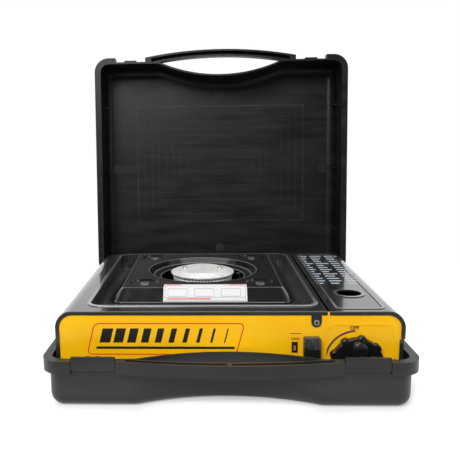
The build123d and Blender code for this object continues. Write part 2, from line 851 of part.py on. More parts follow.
cover_face = lip_face - seat_gap
cover_inner = cover_face + sheet
open_left = cover_left - sheet
with BuildPart() as cartridge_cover:
    add(shell_block(cover_left, half_width, cover_skirt_bottom, 0, (1,), cover_face, stove_back, back_round))
    room = shell_block(
        open_left, half_width - sheet, 0, sheet, (1,), cover_inner, stove_back - sheet, back_round - sheet
    )
    add(room, mode=Mode.SUBTRACT)
    add(shell_block(open_left, half_width - lip, 0, lip, (1,), cover_face, cover_inner), mode=Mode.SUBTRACT)
    with BuildSketch(front_plane(stove_back)):
        with Locations((open_left, stove_top - back_lip)):
            Rectangle(half_width - cover_left - back_round, stove_top, align=(Align.MIN, Align.MAX))
    extrude(amount=2 * sheet, mode=Mode.SUBTRACT)
    # ears that turn on the two pins
    for y in (panel_back + seat_gap, pan_inner_back - seat_gap - ear_sheet):
        with BuildSketch(front_plane(y)):
            with Locations((cover_left, stove_top - sheet)):
                Rectangle(ear_width, ear_depth, align=(Align.MIN, Align.MAX))
            with Locations((cover_hinge_x, cover_hinge_z)):
                Circle(cover_pin_radius + pin_clearance, mode=Mode.SUBTRACT)
        extrude(amount=-ear_sheet)
    # slot that clears the front panel's tongue
    with BuildSketch(front_plane(panel_face - seat_gap / 2)):
        with Locations((cover_left, stove_top)):
            Rectangle(tongue_slot, 2 * sheet, align=(Align.MIN, Align.CENTER))
    extrude(amount=-(sheet + seat_gap), mode=Mode.SUBTRACT)
    with BuildSketch(front_plane(stove_back)):
        with Locations((cover_left, stove_top)):
            Rectangle(tongue_slot, 2 * back_lip, align=(Align.MIN, Align.CENTER))
    extrude(amount=stove_back - pan_inner_back + seat_gap / 2, mode=Mode.SUBTRACT)
    with BuildSketch(Plane.XY.offset(stove_top)):
        with Locations((sight_x, sight_y)):
            Circle(sight_rim)
    extrude(amount=sight_rim_height)
    with BuildSketch(Plane.XY.offset(stove_top + sight_rim_height)):
        with Locations((sight_x, sight_y)):
            Circle(sight_radius)
    extrude(amount=-2 * (sheet + sight_rim_height), mode=Mode.SUBTRACT)
    with BuildSketch(side_plane(half_width - 2 * sheet)):
        with Locations((notch_y, cover_skirt_bottom)):
            Circle(notch_radius)
    extrude(amount=4 * sheet, mode=Mode.SUBTRACT)
    # raised border of the lid of the cartridge bay
    flat_right = half_width - edge_round
    border_width = flat_right - cover_left - cover_frame_inset
    border_length = stove_back - back_round - cover_face - 2 * cover_frame_inset
    border_middle = ((cover_left + cover_frame_inset + flat_right) / 2, (cover_face + stove_back - back_round) / 2)
    with BuildSketch(Plane.XY.offset(stove_top)):
        with Locations(border_middle):
            RectangleRounded(border_width, border_length, cover_frame_inset)
            RectangleRounded(
                border_width - 2 * cover_frame_width,
                border_length - 2 * cover_frame_width,
                cover_frame_inset - cover_frame_width,
                mode=Mode.SUBTRACT,
            )
    extrude(amount=cover_frame_height)
write(cartridge_cover.part, "cartridge_cover")

with BuildPart() as cover_hinge_pins:
    for y, direction in ((panel_back, -1), (pan_inner_back, 1)):
        with BuildSketch(front_plane(y)):
            with Locations((cover_hinge_x, cover_hinge_z)):
                Circle(cover_pin_radius)
        extrude(amount=direction * cover_pin_reach)
write(cover_hinge_pins.part, "cover_hinge_pins")

with BuildPart() as heat_shield:
    shield_front = panel_back + sheet + seat_gap
    shield_back = pan_inner_back - 2 * sheet
    shield_top = stove_top - back_lip - seat_gap
    nozzle_pass = gas_plane(shield_x).origin
    with BuildSketch(side_plane(shield_x)):
        with Locations((shield_front, pan_floor)):
            Rectangle(shield_back - shield_front, shield_top - pan_floor, align=(Align.MIN, Align.MIN))
        with Locations((nozzle_pass.Y, gas_line)):
            Circle(2 * nozzle_radius, mode=Mode.SUBTRACT)
        with Locations((lead_notch_y, shield_top)):
            Rectangle(lead_notch, 2 * lead_notch_depth, mode=Mode.SUBTRACT)
        finger_low = hook_finger_y - hook_finger / 2 - hook_travel - hook_slot_air
        finger_high = hook_finger_y + hook_finger / 2 + hook_slot_air
        with Locations((finger_low, hook_bottom - hook_slot_air)):
            Rectangle(
                finger_high - finger_low,
                hook_top - hook_bottom + 2 * hook_slot_air,
                align=(Align.MIN, Align.MIN),
                mode=Mode.SUBTRACT,
            )
    extrude(amount=sheet)
    with BuildSketch(Plane.XY.offset(pan_floor)):
        with Locations((shield_x + sheet, shield_front)):
            Rectangle(shield_foot, shield_back - shield_front, align=(Align.MIN, Align.MIN))
    extrude(amount=sheet)
    # ledge that the cartridge hook slides on
    with BuildSketch(side_plane(hook_x - pan_gap)):
        with Locations((ledge_y, hook_bottom - slide_air)):
            Rectangle(ledge_length, ledge_height, align=(Align.CENTER, Align.MAX))
    extrude(amount=shield_x - hook_x + pan_gap)
write(heat_shield.part, "heat_shield")

with BuildPart() as feet:
    with BuildSketch(Plane.XY.offset(case_floor)):
        with Locations((0, (foot_front + foot_back) / 2)):
            with GridLocations(2 * foot_x, foot_back - foot_front, 2, 2):
                Circle(foot_radius)
    extrude(amount=foot_height)
    chamfer(feet.faces().group_by(Axis.Z)[0].edges(), foot_height / 5)
write(feet.part, "feet")

with BuildPart() as panel_screw:
    with BuildSketch(front_plane(lip_face)):
        with Locations((tab_x, tab_screw_z)):
            Circle(screw_head)
    extrude(amount=screw_head_height)
    fillet(panel_screw.faces().sort_by(Axis.Y)[0].edges(), screw_head_height / 2)
    with BuildSketch(front_plane(lip_face - screw_head_height)):
        with Locations((tab_x, tab_screw_z)):
            for turn in (0, 90):
                Rectangle(screw_head * 1.1, screw_head / 4, rotation=turn)
    extrude(amount=-screw_head_height / 2, mode=Mode.SUBTRACT)
    with BuildSketch(front_plane(lip_face)):
        with Locations((tab_x, tab_screw_z)):
            Circle(screw_radius)
    extrude(amount=-(panel_back - lip_face + slide_gap))
write(panel_screw.part, "panel_screw")

# Pan support and its riveted legs
support_z = recess_floor + seat_gap
support_slope = degrees(atan2((support_foot - support_top) / 2, support_rise))
plateau = support_z + support_sheet + support_rise
pads = [(burner_x + i * pad_x, burner_y + j * pad_y) for i in (-1, 1) for j in (-1, 1)]


def turned_ring(points):
    """Ring about the burner's axis from a closed outline of radius and height pairs."""
    axis_plane = Plane(origin=(burner_x, burner_y, 0), x_dir=(1, 0, 0), z_dir=(0, -1, 0))
    with BuildPart() as ring:
        with BuildSketch(axis_plane):
            with BuildLine():
                Polyline(*points, close=True)
            make_face()
        revolve(axis=Axis((burner_x, burner_y, 0), (0, 0, 1)))
    return ring.part


with BuildPart() as pan_support:
    with BuildSketch(Plane.XY.offset(support_z)):
        with Locations((burner_x, burner_y)):
            RectangleRounded(
                support_foot + 2 * support_flange, support_foot + 2 * support_flange, support_corner + support_flange
            )
    extrude(amount=support_sheet)
    for height, mode in ((support_z + support_sheet, Mode.ADD), (support_z, Mode.SUBTRACT)):
        with BuildSketch(Plane.XY.offset(height)):
            with Locations((burner_x, burner_y)):
                RectangleRounded(support_foot, support_foot, support_corner)
        extrude(amount=support_rise, taper=support_slope, mode=mode)
    with BuildSketch(Plane.XY.offset(plateau)):
        with Locations((burner_x, burner_y)):
            Circle(bowl_radius)
        with Locations(*pads):
            Circle(pad_radius)
    extrude(amount=-2 * support_sheet, mode=Mode.SUBTRACT)
    bowl_edge = bowl_radius + support_sheet
    hole_z = plateau - bowl_drop
    add(
        turned_ring(
            [
                (bowl_edge, plateau),
                (bowl_radius - 2 * support_sheet, plateau),
                ((bowl_radius + flame_hole) / 2, hole_z + bowl_drop / 4),
                (flame_hole, hole_z),
                (flame_hole, hole_z - support_sheet),
                ((bowl_radius + flame_hole) / 2, hole_z + bowl_drop / 4 - support_sheet),
                (bowl_radius - support_sheet, plateau - support_sheet),
                (bowl_edge, plateau - support_sheet),
            ]
        )
    )
    with BuildSketch(Plane.XY.offset(plateau - pad_drop - support_sheet)):
        with Locations(*pads):
            Circle(pad_radius + support_sheet)
    extrude(amount=pad_drop + support_sheet)
    with BuildSketch(Plane.XY.offset(plateau - pad_drop)):
        with Locations(*pads):
            Circle(pad_radius)
    extrude(amount=pad_drop, mode=Mode.SUBTRACT)
    with BuildSketch(Plane.XY.offset(plateau)):
        with Locations(*pads):
            Circle(rivet_radius + screw_clearance)
    extrude(amount=-bowl_drop, mode=Mode.SUBTRACT)
write(pan_support.part, "pan_support")

leg_top = plateau - pad_drop - support_sheet
with BuildPart() as support_legs:
    for x, y in pads:
        with BuildSketch(Plane.XY.offset(leg_top)):
            with Locations((x, y)):
                Circle(leg_foot_radius)
                Circle(rivet_radius + screw_clearance, mode=Mode.SUBTRACT)
        extrude(amount=-leg_thickness)
        outward = degrees(atan2(y - burner_y, x - burner_x))
        with BuildSketch(Plane.XY.offset(leg_top - leg_thickness)):
            with Locations(Location((x, y, 0), outward)):
                with Locations((0, leg_foot_radius - leg_thickness / 2)):
                    Rectangle(leg_length, leg_thickness)
        extrude(amount=leg_thickness - leg_drop)
        with BuildSketch(Plane.XY.offset(leg_top)):
            with Locations(Location((x, y, 0), outward)):
                with Locations((0, leg_foot_radius - leg_thickness / 2)):
                    Rectangle(leg_foot_radius, leg_thickness)
        extrude(amount=-leg_thickness)
write(support_legs.part, "support_legs")

with BuildPart() as support_rivets:
    for x, y in pads:
        for top, bottom, radius in (
            (plateau - pad_drop + rivet_head_height, plateau - pad_drop, rivet_head),
            (plateau - pad_drop, leg_top - leg_thickness, rivet_radius),
            (leg_top - leg_thickness, leg_top - leg_thickness - rivet_head_height, rivet_head),
        ):
            with BuildSketch(Plane.XY.offset(bottom)):
                with Locations((x, y)):
                    Circle(radius)
            extrude(amount=top - bottom)
        with BuildSketch(Plane.XY.offset(plateau)):
            with Locations((x, y)):
                Circle(rivet_bore)
        extrude(amount=-leg_drop, mode=Mode.SUBTRACT)
write(support_rivets.part, "support_rivets")

# Burner
bowl_wall = 2 * tube_wall
head_radius = port_ring - pan_gap
cap_screws = [(burner_x - cap_screw_offset, burner_y), (burner_x + cap_screw_offset, burner_y)]
cap_under = cap_top - cap_sheet
with BuildPart() as gas_room:
    add(
        turned_ring(
            [
                (0, throat_bottom + throat_floor),
                (throat_bore, throat_bottom + throat_floor),
                (throat_bore, throat_top + bowl_wall),
                (head_radius - bowl_wall, head_rim - 2 * bowl_wall),
                (head_radius - bowl_wall, head_rim),
                (0, head_rim),
            ]
        )
    )
    with BuildSketch(Plane.XY.offset(throat_top)):
        with Locations(*cap_screws):
            Circle(post_radius)
    extrude(amount=cap_top - throat_top, mode=Mode.SUBTRACT)

with BuildPart() as burner_head:
    add(
        turned_ring(
            [
                (0, throat_bottom),
                (throat_radius, throat_bottom),
                (throat_radius, throat_top),
                (head_radius, head_rim - 2 * bowl_wall),
                (head_radius, head_rim),
                (0, head_rim),
            ]
        )
    )
    add(gas_room.part, mode=Mode.SUBTRACT)
    with BuildSketch(Plane.XY.offset(head_rim)):
        with Locations(*cap_screws):
            Circle(post_radius)
    extrude(amount=cap_under - head_rim)
    with BuildSketch(Plane.XY.offset(cap_under)):
        with Locations(*cap_screws):
            Circle(screw_radius + screw_clearance)
    extrude(amount=cap_sheet - screw_reach, mode=Mode.SUBTRACT)
    with BuildSketch(gas_plane(burner_x)):
        Circle(tube_radius + tube_clearance)
    extrude(amount=2 * throat_radius, mode=Mode.SUBTRACT)
write(burner_head.part, "burner_head")

port_inner = port_ring - port_wall
port_roof = cap_rim - cap_rim_height
with BuildPart() as burner_cap:
    add(
        turned_ring(
            [
                (port_ring, head_rim),
                (port_ring, port_roof),
                (cap_radius, port_roof),
                (cap_radius, cap_rim),
                (cap_flat, cap_top),
                (0, cap_top),
                (0, cap_under),
                (cap_flat, cap_under),
                (port_inner, port_roof),
                (port_inner, head_rim),
            ]
        )
    )
    with BuildSketch(Plane.XY.offset((head_rim + port_roof - port_height) / 2)):
        with Locations((burner_x, burner_y)):
            with PolarLocations(port_ring - port_wall / 2, port_count):
                Rectangle(2 * port_wall, port_width)
    extrude(amount=port_height, mode=Mode.SUBTRACT)
    with BuildSketch(Plane.XY.offset(cap_top)):
        with Locations(*cap_screws):
            Circle(screw_radius + screw_clearance)
    extrude(amount=-2 * cap_sheet, mode=Mode.SUBTRACT)
write(burner_cap.part, "burner_cap")

with BuildPart() as burner_screws:
    for bottom, height, radius in (
        (cap_top, screw_head_height, screw_head),
        (cap_top - screw_reach, screw_reach, screw_radius),
    ):
        with BuildSketch(Plane.XY.offset(bottom)):
            with Locations(*cap_screws):
                Circle(radius)
        extrude(amount=height)
    fillet(burner_screws.faces().group_by(Axis.Z)[-1].edges(), screw_head_height / 2)
    with BuildSketch(Plane.XY.offset(cap_top + screw_head_height)):
        with Locations(*cap_screws):
            for turn in (0, 90):
                Rectangle(screw_cross, screw_head / 4, rotation=turn)
    extrude(amount=-screw_head_height / 2, mode=Mode.SUBTRACT)
write(burner_screws.part, "burner_screws")

with BuildPart() as burner_bracket:
    with BuildSketch(front_plane(burner_y - bracket_width / 2)):
        with Locations((burner_x, pan_floor)):
            Rectangle(bracket_length, bracket_sheet, align=(Align.CENTER, Align.MIN))
            Rectangle(
                bracket_length - 2 * bracket_foot, throat_bottom - pan_floor, align=(Align.CENTER, Align.MIN)
            )
            Rectangle(
                bracket_length - 2 * bracket_foot - 2 * bracket_sheet,
                throat_bottom - pan_floor - bracket_sheet,
                align=(Align.CENTER, Align.MIN),
                mode=Mode.SUBTRACT,
            )
    extrude(amount=-bracket_width)
write(burner_bracket.part, "burner_bracket")

tube_start = burner_x + (throat_radius + throat_bore) / 2 * gas_way[0]
with BuildPart() as mixing_tube:
    for shrink, mode in ((0, Mode.ADD), (tube_wall, Mode.SUBTRACT)):
        with BuildSketch(gas_plane(tube_start)):
            Circle(tube_radius - shrink)
        extrude(amount=gas_reach(tube_start, bell_x), mode=mode)
        with BuildSketch(gas_plane(bell_x)):
            Circle(bell_radius - shrink)
        with BuildSketch(gas_plane(bell_x).offset(-bell_length)):
            Circle(tube_radius - shrink)
        loft(mode=mode)
write(mixing_tube.part, "mixing_tube")

# Spark electrode
electrode_x = burner_x + electrode_offset
tail_bottom = insulator_bottom - electrode_tail
with BuildPart() as electrode:
    with BuildSketch(Plane.XY.offset(tail_bottom)):
        with Locations((electrode_x, burner_y)):
            Circle(electrode_radius)
    extrude(amount=electrode_top - tail_bottom)
    with BuildSketch(side_plane(electrode_x)):
        with Locations((burner_y, electrode_top - electrode_radius)):
            Circle(electrode_radius)
    extrude(amount=-electrode_tip)
write(electrode.part, "electrode")

with BuildPart() as insulator:
    for bottom, height, radius in (
        (insulator_bottom, insulator_top - insulator_bottom, insulator_radius),
        (electrode_tab_z, insulator_flange, insulator_radius + insulator_flange),
    ):
        with BuildSketch(Plane.XY.offset(bottom)):
            with Locations((electrode_x, burner_y)):
                Circle(radius)
        extrude(amount=height)
    with BuildSketch(Plane.XY.offset(insulator_bottom)):
        with Locations((electrode_x, burner_y)):
            Circle(electrode_radius + tube_clearance)
    extrude(amount=insulator_top - insulator_bottom, mode=Mode.SUBTRACT)
write(insulator.part, "insulator")

strap_y = burner_y + electrode_strap / 2
with BuildPart() as electrode_bracket:
    with BuildSketch(side_plane(electrode_x - electrode_strap / 2)):
        with Locations((strap_y, pan_floor)):
            Rectangle(slide_sheet, electrode_tab_z - pan_floor, align=(Align.MIN, Align.MIN))
            Rectangle(electrode_strap, slide_sheet, align=(Align.MIN, Align.MIN))
        with Locations((strap_y + slide_sheet, electrode_tab_z)):
            Rectangle(electrode_strap + slide_sheet, slide_sheet, align=(Align.MAX, Align.MAX))
    extrude(amount=electrode_strap)
    with BuildSketch(Plane.XY.offset(electrode_tab_z)):
        with Locations((electrode_x, burner_y)):
            Circle(insulator_radius + tube_clearance)
    extrude(amount=-2 * slide_sheet, mode=Mode.SUBTRACT)
write(electrode_bracket.part, "electrode_bracket")

# Gas controls
with BuildPart() as cartridge_rests:
    with BuildSketch(Plane.XY.offset(pan_floor)):
        with Locations((cartridge_x, (rest_front + rest_back) / 2)):
            with GridLocations(0, rest_back - rest_front, 1, 2):
                Rectangle(rest_width, rest_depth)
    extrude(amount=rest_height)
write(cartridge_rests.part, "cartridge_rests")

with BuildPart() as gas_governor:
    for start, end, radius in (
        (valve_back, governor_back, governor_radius),
        (governor_back, collar_back, collar_radius),
    ):
        with BuildSketch(front_plane(start)):
            with Locations((cartridge_x, cartridge_z)):
                Circle(radius)
        extrude(amount=start - end)
    fillet(gas_governor.faces().sort_by(Axis.Y)[0].edges(), governor_radius / 10)
    with BuildSketch(gas_plane(outlet_x)):
        Circle(outlet_radius)
    extrude(amount=gas_reach(outlet_x, outlet_root_x))
    with BuildSketch(front_plane(collar_back)):
        with Locations((cartridge_x, cartridge_z)):
            Circle(collar_bore)
    extrude(amount=collar_back - governor_back, mode=Mode.SUBTRACT)
write(gas_governor.part, "gas_governor")

with BuildPart() as governor_bracket:
    with BuildSketch(front_plane(governor_back)):
        with Locations((cartridge_x, pan_floor)):
            Rectangle(governor_plate_width, governor_plate_height, align=(Align.CENTER, Align.MIN))
        with Locations((cartridge_x, cartridge_z)):
            Circle(collar_radius + tube_clearance, mode=Mode.SUBTRACT)
    extrude(amount=-governor_bracket_sheet)
    with BuildSketch(Plane.XY.offset(pan_floor)):
        with Locations((cartridge_x, governor_back)):
            Rectangle(governor_plate_width, governor_foot, align=(Align.CENTER, Align.MAX))
    extrude(amount=governor_bracket_sheet)
write(governor_bracket.part, "governor_bracket")

with BuildPart() as gas_nozzle:
    with BuildSketch(gas_plane(nozzle_tip_x)):
        Circle(nozzle_radius)
    extrude(amount=gas_reach(nozzle_tip_x, outlet_x))
    with BuildSketch(gas_plane(outlet_x)):
        RegularPolygon(nozzle_hex, 6)
    extrude(amount=-nozzle_hex_length)
    with BuildSketch(gas_plane(nozzle_tip_x)):
        Circle(nozzle_bore)
    extrude(amount=gas_reach(nozzle_tip_x, outlet_x), mode=Mode.SUBTRACT)
write(gas_nozzle.part, "gas_nozzle")

with BuildPart() as valve_housing:
    with BuildSketch(front_plane(valve_front)):
        with Locations((knob_x, knob_z)):
            Rectangle(valve_width, valve_height)
    extrude(amount=valve_front - valve_back)
    fillet(valve_housing.edges().filter_by(Axis.Y).group_by(Axis.Z)[0], spindle_radius)
    with BuildSketch(front_plane(valve_front)):
        with Locations((knob_x, knob_z)):
            Circle(spindle_radius + pin_clearance)
    extrude(amount=-spindle_in_valve - pan_gap, mode=Mode.SUBTRACT)
write(valve_housing.part, "valve_housing")

knob_back = panel_face - knob_air
with BuildPart() as valve_spindle:
    with BuildSketch(front_plane(knob_back - spindle_in_knob)):
        with Locations((knob_x, knob_z)):
            Circle(spindle_radius)
    extrude(amount=knob_back - spindle_in_knob - valve_front - spindle_in_valve)
write(valve_spindle.part, "valve_spindle")

with BuildPart() as control_knob:
    with BuildSketch(front_plane(knob_back)):
        with Locations((knob_x, knob_z)):
            Circle(knob_radius)
            with PolarLocations(lobe_ring, knob_lobes):
                Circle(lobe_radius)
    extrude(amount=knob_disc)
    fillet(control_knob.faces().sort_by(Axis.Y)[0].edges(), knob_disc / 4)
    with BuildSketch(front_plane(knob_back)):
        with Locations((knob_x, knob_z)):
            SlotOverall(grip_length, grip_width, rotation=90)
    extrude(amount=knob_disc + grip_height)
    fillet(control_knob.faces().sort_by(Axis.Y)[0].edges(), knob_disc / 4)
    with BuildSketch(front_plane(knob_back)):
        with Locations((knob_x, knob_z)):
            Circle(spindle_radius + pin_clearance)
    extrude(amount=spindle_in_knob, mode=Mode.SUBTRACT)
write(control_knob.part, "control_knob")

igniter_top = igniter_bottom + igniter_width
igniter_x = knob_x + valve_width / 2 + igniter_width / 2
with BuildPart() as piezo_igniter:
    with BuildSketch(front_plane(igniter_front)):
        with Locations((igniter_x, (igniter_bottom + igniter_top) / 2)):
            Rectangle(igniter_width, igniter_width)
    extrude(amount=-igniter_length)
    chamfer(piezo_igniter.edges().filter_by(Axis.Y).group_by(Axis.X)[-1], igniter_width / 8)
write(piezo_igniter.part, "piezo_igniter")

with BuildPart() as ignition_lead:
    with BuildLine() as lead_path:
        FilletPolyline(
            (igniter_x, lead_notch_y, igniter_top),
            (igniter_x, lead_notch_y, lead_high),
            (lead_turn_x, lead_notch_y, lead_high),
            (lead_turn_x, lead_notch_y, lead_middle),
            (lead_turn_x, burner_y, lead_middle),
            (lead_turn_x, burner_y, lead_low),
            (electrode_x, burner_y, lead_low),
            (electrode_x, burner_y, tail_bottom),
            radius=lead_bend,
        )
    with BuildSketch(Plane.XY.offset(igniter_top)):
        with Locations((igniter_x, lead_notch_y)):
            Circle(lead_radius)
    sweep(path=lead_path.wire())
write(ignition_lead.part, "ignition_lead")

# Lock lever, crank and cartridge hook
pad_face = panel_face - lever_air
link_pin = (crank_y - crank_reach, crank_z + lever_travel / 2)
with BuildPart() as lock_lever:
    with BuildSketch(front_plane(pad_face)):
        with Locations((lever_x, lever_z)):
            RectangleRounded(lever_width, lever_height, lever_rib)
    extrude(amount=lever_depth - lever_rib)
    with BuildSketch(front_plane(pad_face - lever_depth + lever_rib)):
        with Locations((lever_x, lever_z)):
            with GridLocations(lever_width / lever_rib_count, 0, lever_rib_count, 1):
                Rectangle(lever_rib, lever_height - 2 * lever_rib)
    extrude(amount=lever_rib)
    with BuildSketch(front_plane(pad_face)):
        with Locations((lever_x, lever_z)):
            Rectangle(stem_width, stem_height)
    extrude(amount=pad_face - slide_y)
write(lock_lever.part, "lock_lever")

with BuildPart() as lever_slide:
    with BuildSketch(front_plane(slide_y)):
        with Locations((slide_x, slide_bottom)):
            Rectangle(slide_width, slide_top - slide_bottom, align=(Align.CENTER, Align.MIN))
    extrude(amount=-slide_sheet)
    slide_side = slide_x + slide_width / 2
    with BuildSketch(side_plane(slide_side)):
        with Locations((slide_y, link_pin[1])):
            Rectangle(
                link_pin[0] + 2 * link_pin_radius - slide_y, 4 * link_pin_radius, align=(Align.MIN, Align.CENTER)
            )
    extrude(amount=slide_sheet)
    with BuildSketch(side_plane(slide_side + slide_sheet)):
        with Locations(link_pin):
            Circle(link_pin_radius)
    extrude(amount=crank_x + crank_sheet + slide_air - slide_side - slide_sheet)
write(lever_slide.part, "lever_slide")

strap_front = slide_y + slide_sheet + slide_air
with BuildPart() as lever_guide:
    with BuildSketch(Plane.XY.offset(lever_z - guide_height / 2)):
        with Locations((slide_x - slide_width / 2 - slide_air, panel_back)):
            Rectangle(guide_rail, strap_front + slide_sheet - panel_back, align=(Align.MAX, Align.MIN))
        with Locations((slide_x - slide_width / 2 - slide_air, strap_front)):
            Rectangle(slide_width - slide_air, slide_sheet, align=(Align.MIN, Align.MIN))
    extrude(amount=guide_height)
write(lever_guide.part, "lever_guide")

spring_top = slide_bottom - seat_gap
with BuildPart() as lever_spring:
    with BuildSketch(Plane.XY.offset(pan_floor)):
        with Locations((slide_x, slide_y + spring_offset)):
            Circle(spring_radius)
            Circle(spring_radius - spring_wall, mode=Mode.SUBTRACT)
    extrude(amount=spring_top - pan_floor)
write(lever_spring.part, "lever_spring")

with BuildPart() as lever_bracket:
    bracket_top = crank_z + crank_hub
    with BuildSketch(side_plane(lever_bracket_x)):
        with Locations((lever_bracket_front, pan_floor)):
            Rectangle(
                lever_bracket_back - lever_bracket_front, bracket_top - pan_floor, align=(Align.MIN, Align.MIN)
            )
    extrude(amount=slide_sheet)
    with BuildSketch(Plane.XY.offset(pan_floor)):
        with Locations((lever_bracket_x, lever_bracket_front)):
            Rectangle(lever_bracket_foot, lever_bracket_back - lever_bracket_front, align=(Align.MAX, Align.MIN))
    extrude(amount=slide_sheet)
    with BuildSketch(side_plane(lever_bracket_x)):
        with Locations((crank_y, crank_z)):
            Circle(crank_pin_radius)
    extrude(amount=crank_x - pan_gap - lever_bracket_x)
write(lever_bracket.part, "lever_bracket")

link_reach = hypot(crank_reach, lever_travel / 2)
slot_run = link_reach - crank_reach
arm_turn = 180 - degrees(crank_swing) / 2
drive_turn = 90 - degrees(crank_swing) / 2
drive_pin = (crank_y + hook_travel / 2, crank_z + crank_arm * cos(crank_swing / 2))
with BuildPart() as lock_crank:
    with BuildSketch(side_plane(crank_x)):
        with Locations((crank_y, crank_z)):
            Circle(crank_hub)
        for turn, reach in ((arm_turn, link_reach), (drive_turn, crank_arm)):
            with Locations(Location((crank_y, crank_z, 0), turn)):
                with Locations((reach / 2, 0)):
                    SlotCenterToCenter(reach, crank_width)
        with Locations(Location((crank_y, crank_z, 0), arm_turn)):
            with Locations((link_reach - slot_run / 2, 0)):
                SlotCenterToCenter(slot_run, 2 * (link_pin_radius + link_air), mode=Mode.SUBTRACT)
        with Locations((crank_y, crank_z)):
            Circle(crank_pin_radius + pin_clearance, mode=Mode.SUBTRACT)
    extrude(amount=crank_sheet)
    with BuildSketch(side_plane(crank_x + crank_sheet)):
        with Locations(drive_pin):
            Circle(link_pin_radius)
    extrude(amount=hook_x + hook_sheet + pan_gap - crank_x - crank_sheet)
write(lock_crank.part, "lock_crank")

drive_rise = crank_arm * (1 - cos(crank_swing / 2))
with BuildPart() as cartridge_hook:
    with BuildSketch(side_plane(hook_x)):
        with Locations((hook_front, hook_bottom)):
            Rectangle(hook_back - hook_front, hook_top - hook_bottom, align=(Align.MIN, Align.MIN))
        with Locations((drive_pin[0], drive_pin[1] + drive_rise / 2)):
            SlotCenterToCenter(drive_rise, 2 * (link_pin_radius + link_air), rotation=90, mode=Mode.SUBTRACT)
    extrude(amount=hook_sheet)
    with BuildSketch(side_plane(hook_x + hook_sheet)):
        with Locations((hook_finger_y, (hook_bottom + hook_top) / 2)):
            Rectangle(hook_finger, hook_top - hook_bottom)
    extrude(amount=split_x + hook_finger_reach - hook_x - hook_sheet)
write(cartridge_hook.part, "cartridge_hook")
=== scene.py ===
# %% [markdown]
# # A portable gas stove in its open carry case
# The CAD model gives every rigid piece its shape and place, in metres. This lesson
# loads those pieces as a frame, sets up a plain studio, and then dresses the frame:
# first the finishes, then the printed marks, the return spring and the ignition lead.
# Nothing in the frame is moved, so the dressed stove still opens, turns and slides.

# %% Load the frame
import math

import bmesh
import bpy
from mathutils import Matrix, Vector


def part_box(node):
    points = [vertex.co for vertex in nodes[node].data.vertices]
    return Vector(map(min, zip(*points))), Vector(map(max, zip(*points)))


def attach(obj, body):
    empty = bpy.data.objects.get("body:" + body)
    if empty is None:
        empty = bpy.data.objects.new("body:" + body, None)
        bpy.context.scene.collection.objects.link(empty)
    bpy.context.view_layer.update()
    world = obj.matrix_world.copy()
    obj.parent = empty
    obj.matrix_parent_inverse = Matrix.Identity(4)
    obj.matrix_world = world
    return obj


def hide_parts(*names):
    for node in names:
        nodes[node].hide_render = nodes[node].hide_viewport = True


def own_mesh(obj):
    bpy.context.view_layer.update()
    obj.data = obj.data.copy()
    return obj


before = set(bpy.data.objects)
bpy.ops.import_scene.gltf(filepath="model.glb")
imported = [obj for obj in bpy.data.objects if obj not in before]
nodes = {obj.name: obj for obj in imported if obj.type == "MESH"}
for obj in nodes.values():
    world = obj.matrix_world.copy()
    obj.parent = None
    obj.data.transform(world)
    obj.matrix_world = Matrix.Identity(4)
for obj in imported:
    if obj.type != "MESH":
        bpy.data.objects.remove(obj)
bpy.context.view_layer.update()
scene = bpy.context.scene
scene.view_settings.view_transform = "Standard"

# %% [markdown]
# ## The camera
# The photo was taken from in front of the case, looking slightly down, and was cut to a
# square off its middle, which a lens shift repeats. A camera could be aimed with a Track
# To constraint, but that leaves no room for a roll. Its matrix has columns that point
# right, up and backwards, so the three angles that were measured (down, sideways and a
# tiny roll, in radians) are turned straight into those columns.

# %% Camera
viewpoint = (-0.01896, -0.68118, 0.26238)
down, sideways, roll = 0.1658, 0.0446, -0.014
camera_data = bpy.data.cameras.new("studio_camera")
camera_data.sensor_width = 36.0
camera_data.lens = 46.23
camera_data.shift_x = 0.1045
camera_data.clip_start = 0.01
camera = bpy.data.objects.new("studio_camera", camera_data)
scene.collection.objects.link(camera)
overhead = Vector((0, 0, 1))
right = Vector((math.cos(sideways), math.sin(sideways), 0))
level = Vector((-math.sin(sideways), math.cos(sideways), 0))
ahead = math.cos(down) * level - math.sin(down) * overhead
upward = math.sin(down) * level + math.cos(down) * overhead
right, upward = (
    math.cos(roll) * right + math.sin(roll) * upward,
    math.cos(roll) * upward - math.sin(roll) * right,
)
turn = Matrix((right, upward, -ahead)).transposed().to_4x4()
camera.matrix_world = Matrix.Translation(viewpoint) @ turn
scene.camera = camera
print("camera at", tuple(round(v, 3) for v in camera.matrix_world.translation))

# %% [markdown]
# ## Node helpers
# Materials, the world and Geometry Nodes are all trees of nodes with sockets. A node that
# is added and linked by hand takes a line for every socket, so `plug` and `wire` do it in
# one call. The others give the arithmetic that this lesson needs most: a Math node, a
# range that is held at its ends, a spot on the piece, and how far it lies from a middle.


# %% Node helpers
def plug(tree, node, **inputs):
    """Links or sets inputs: by name, with _ for a space, or by place as i0, i1, i2."""
    for name, value in inputs.items():
        by_place = name[0] == "i" and name[1:].isdigit()
        socket = node.inputs[int(name[1:]) if by_place else name.replace("_", " ")]
        if isinstance(value, bpy.types.NodeSocket):
            tree.links.new(value, socket)
        else:
            socket.default_value = value


def wire(tree, kind, **inputs):
    """Adds a node and plugs in its inputs."""
    node = tree.nodes.new(kind)
    plug(tree, node, **inputs)
    return node


def math_node(tree, operation, first, second=0.0):
    """Math node with two values or sockets; gives its result."""
    node = wire(tree, "ShaderNodeMath", i0=first, i1=second)
    node.operation = operation
    return node.outputs[0]


def ramp_value(tree, value, low, high, start, end):
    """Value from low..high turned into start..end and held there."""
    span = wire(
        tree, "ShaderNodeMapRange", Value=value, From_Min=low, From_Max=high, To_Min=start, To_Max=end
    )
    return span.outputs["Result"]


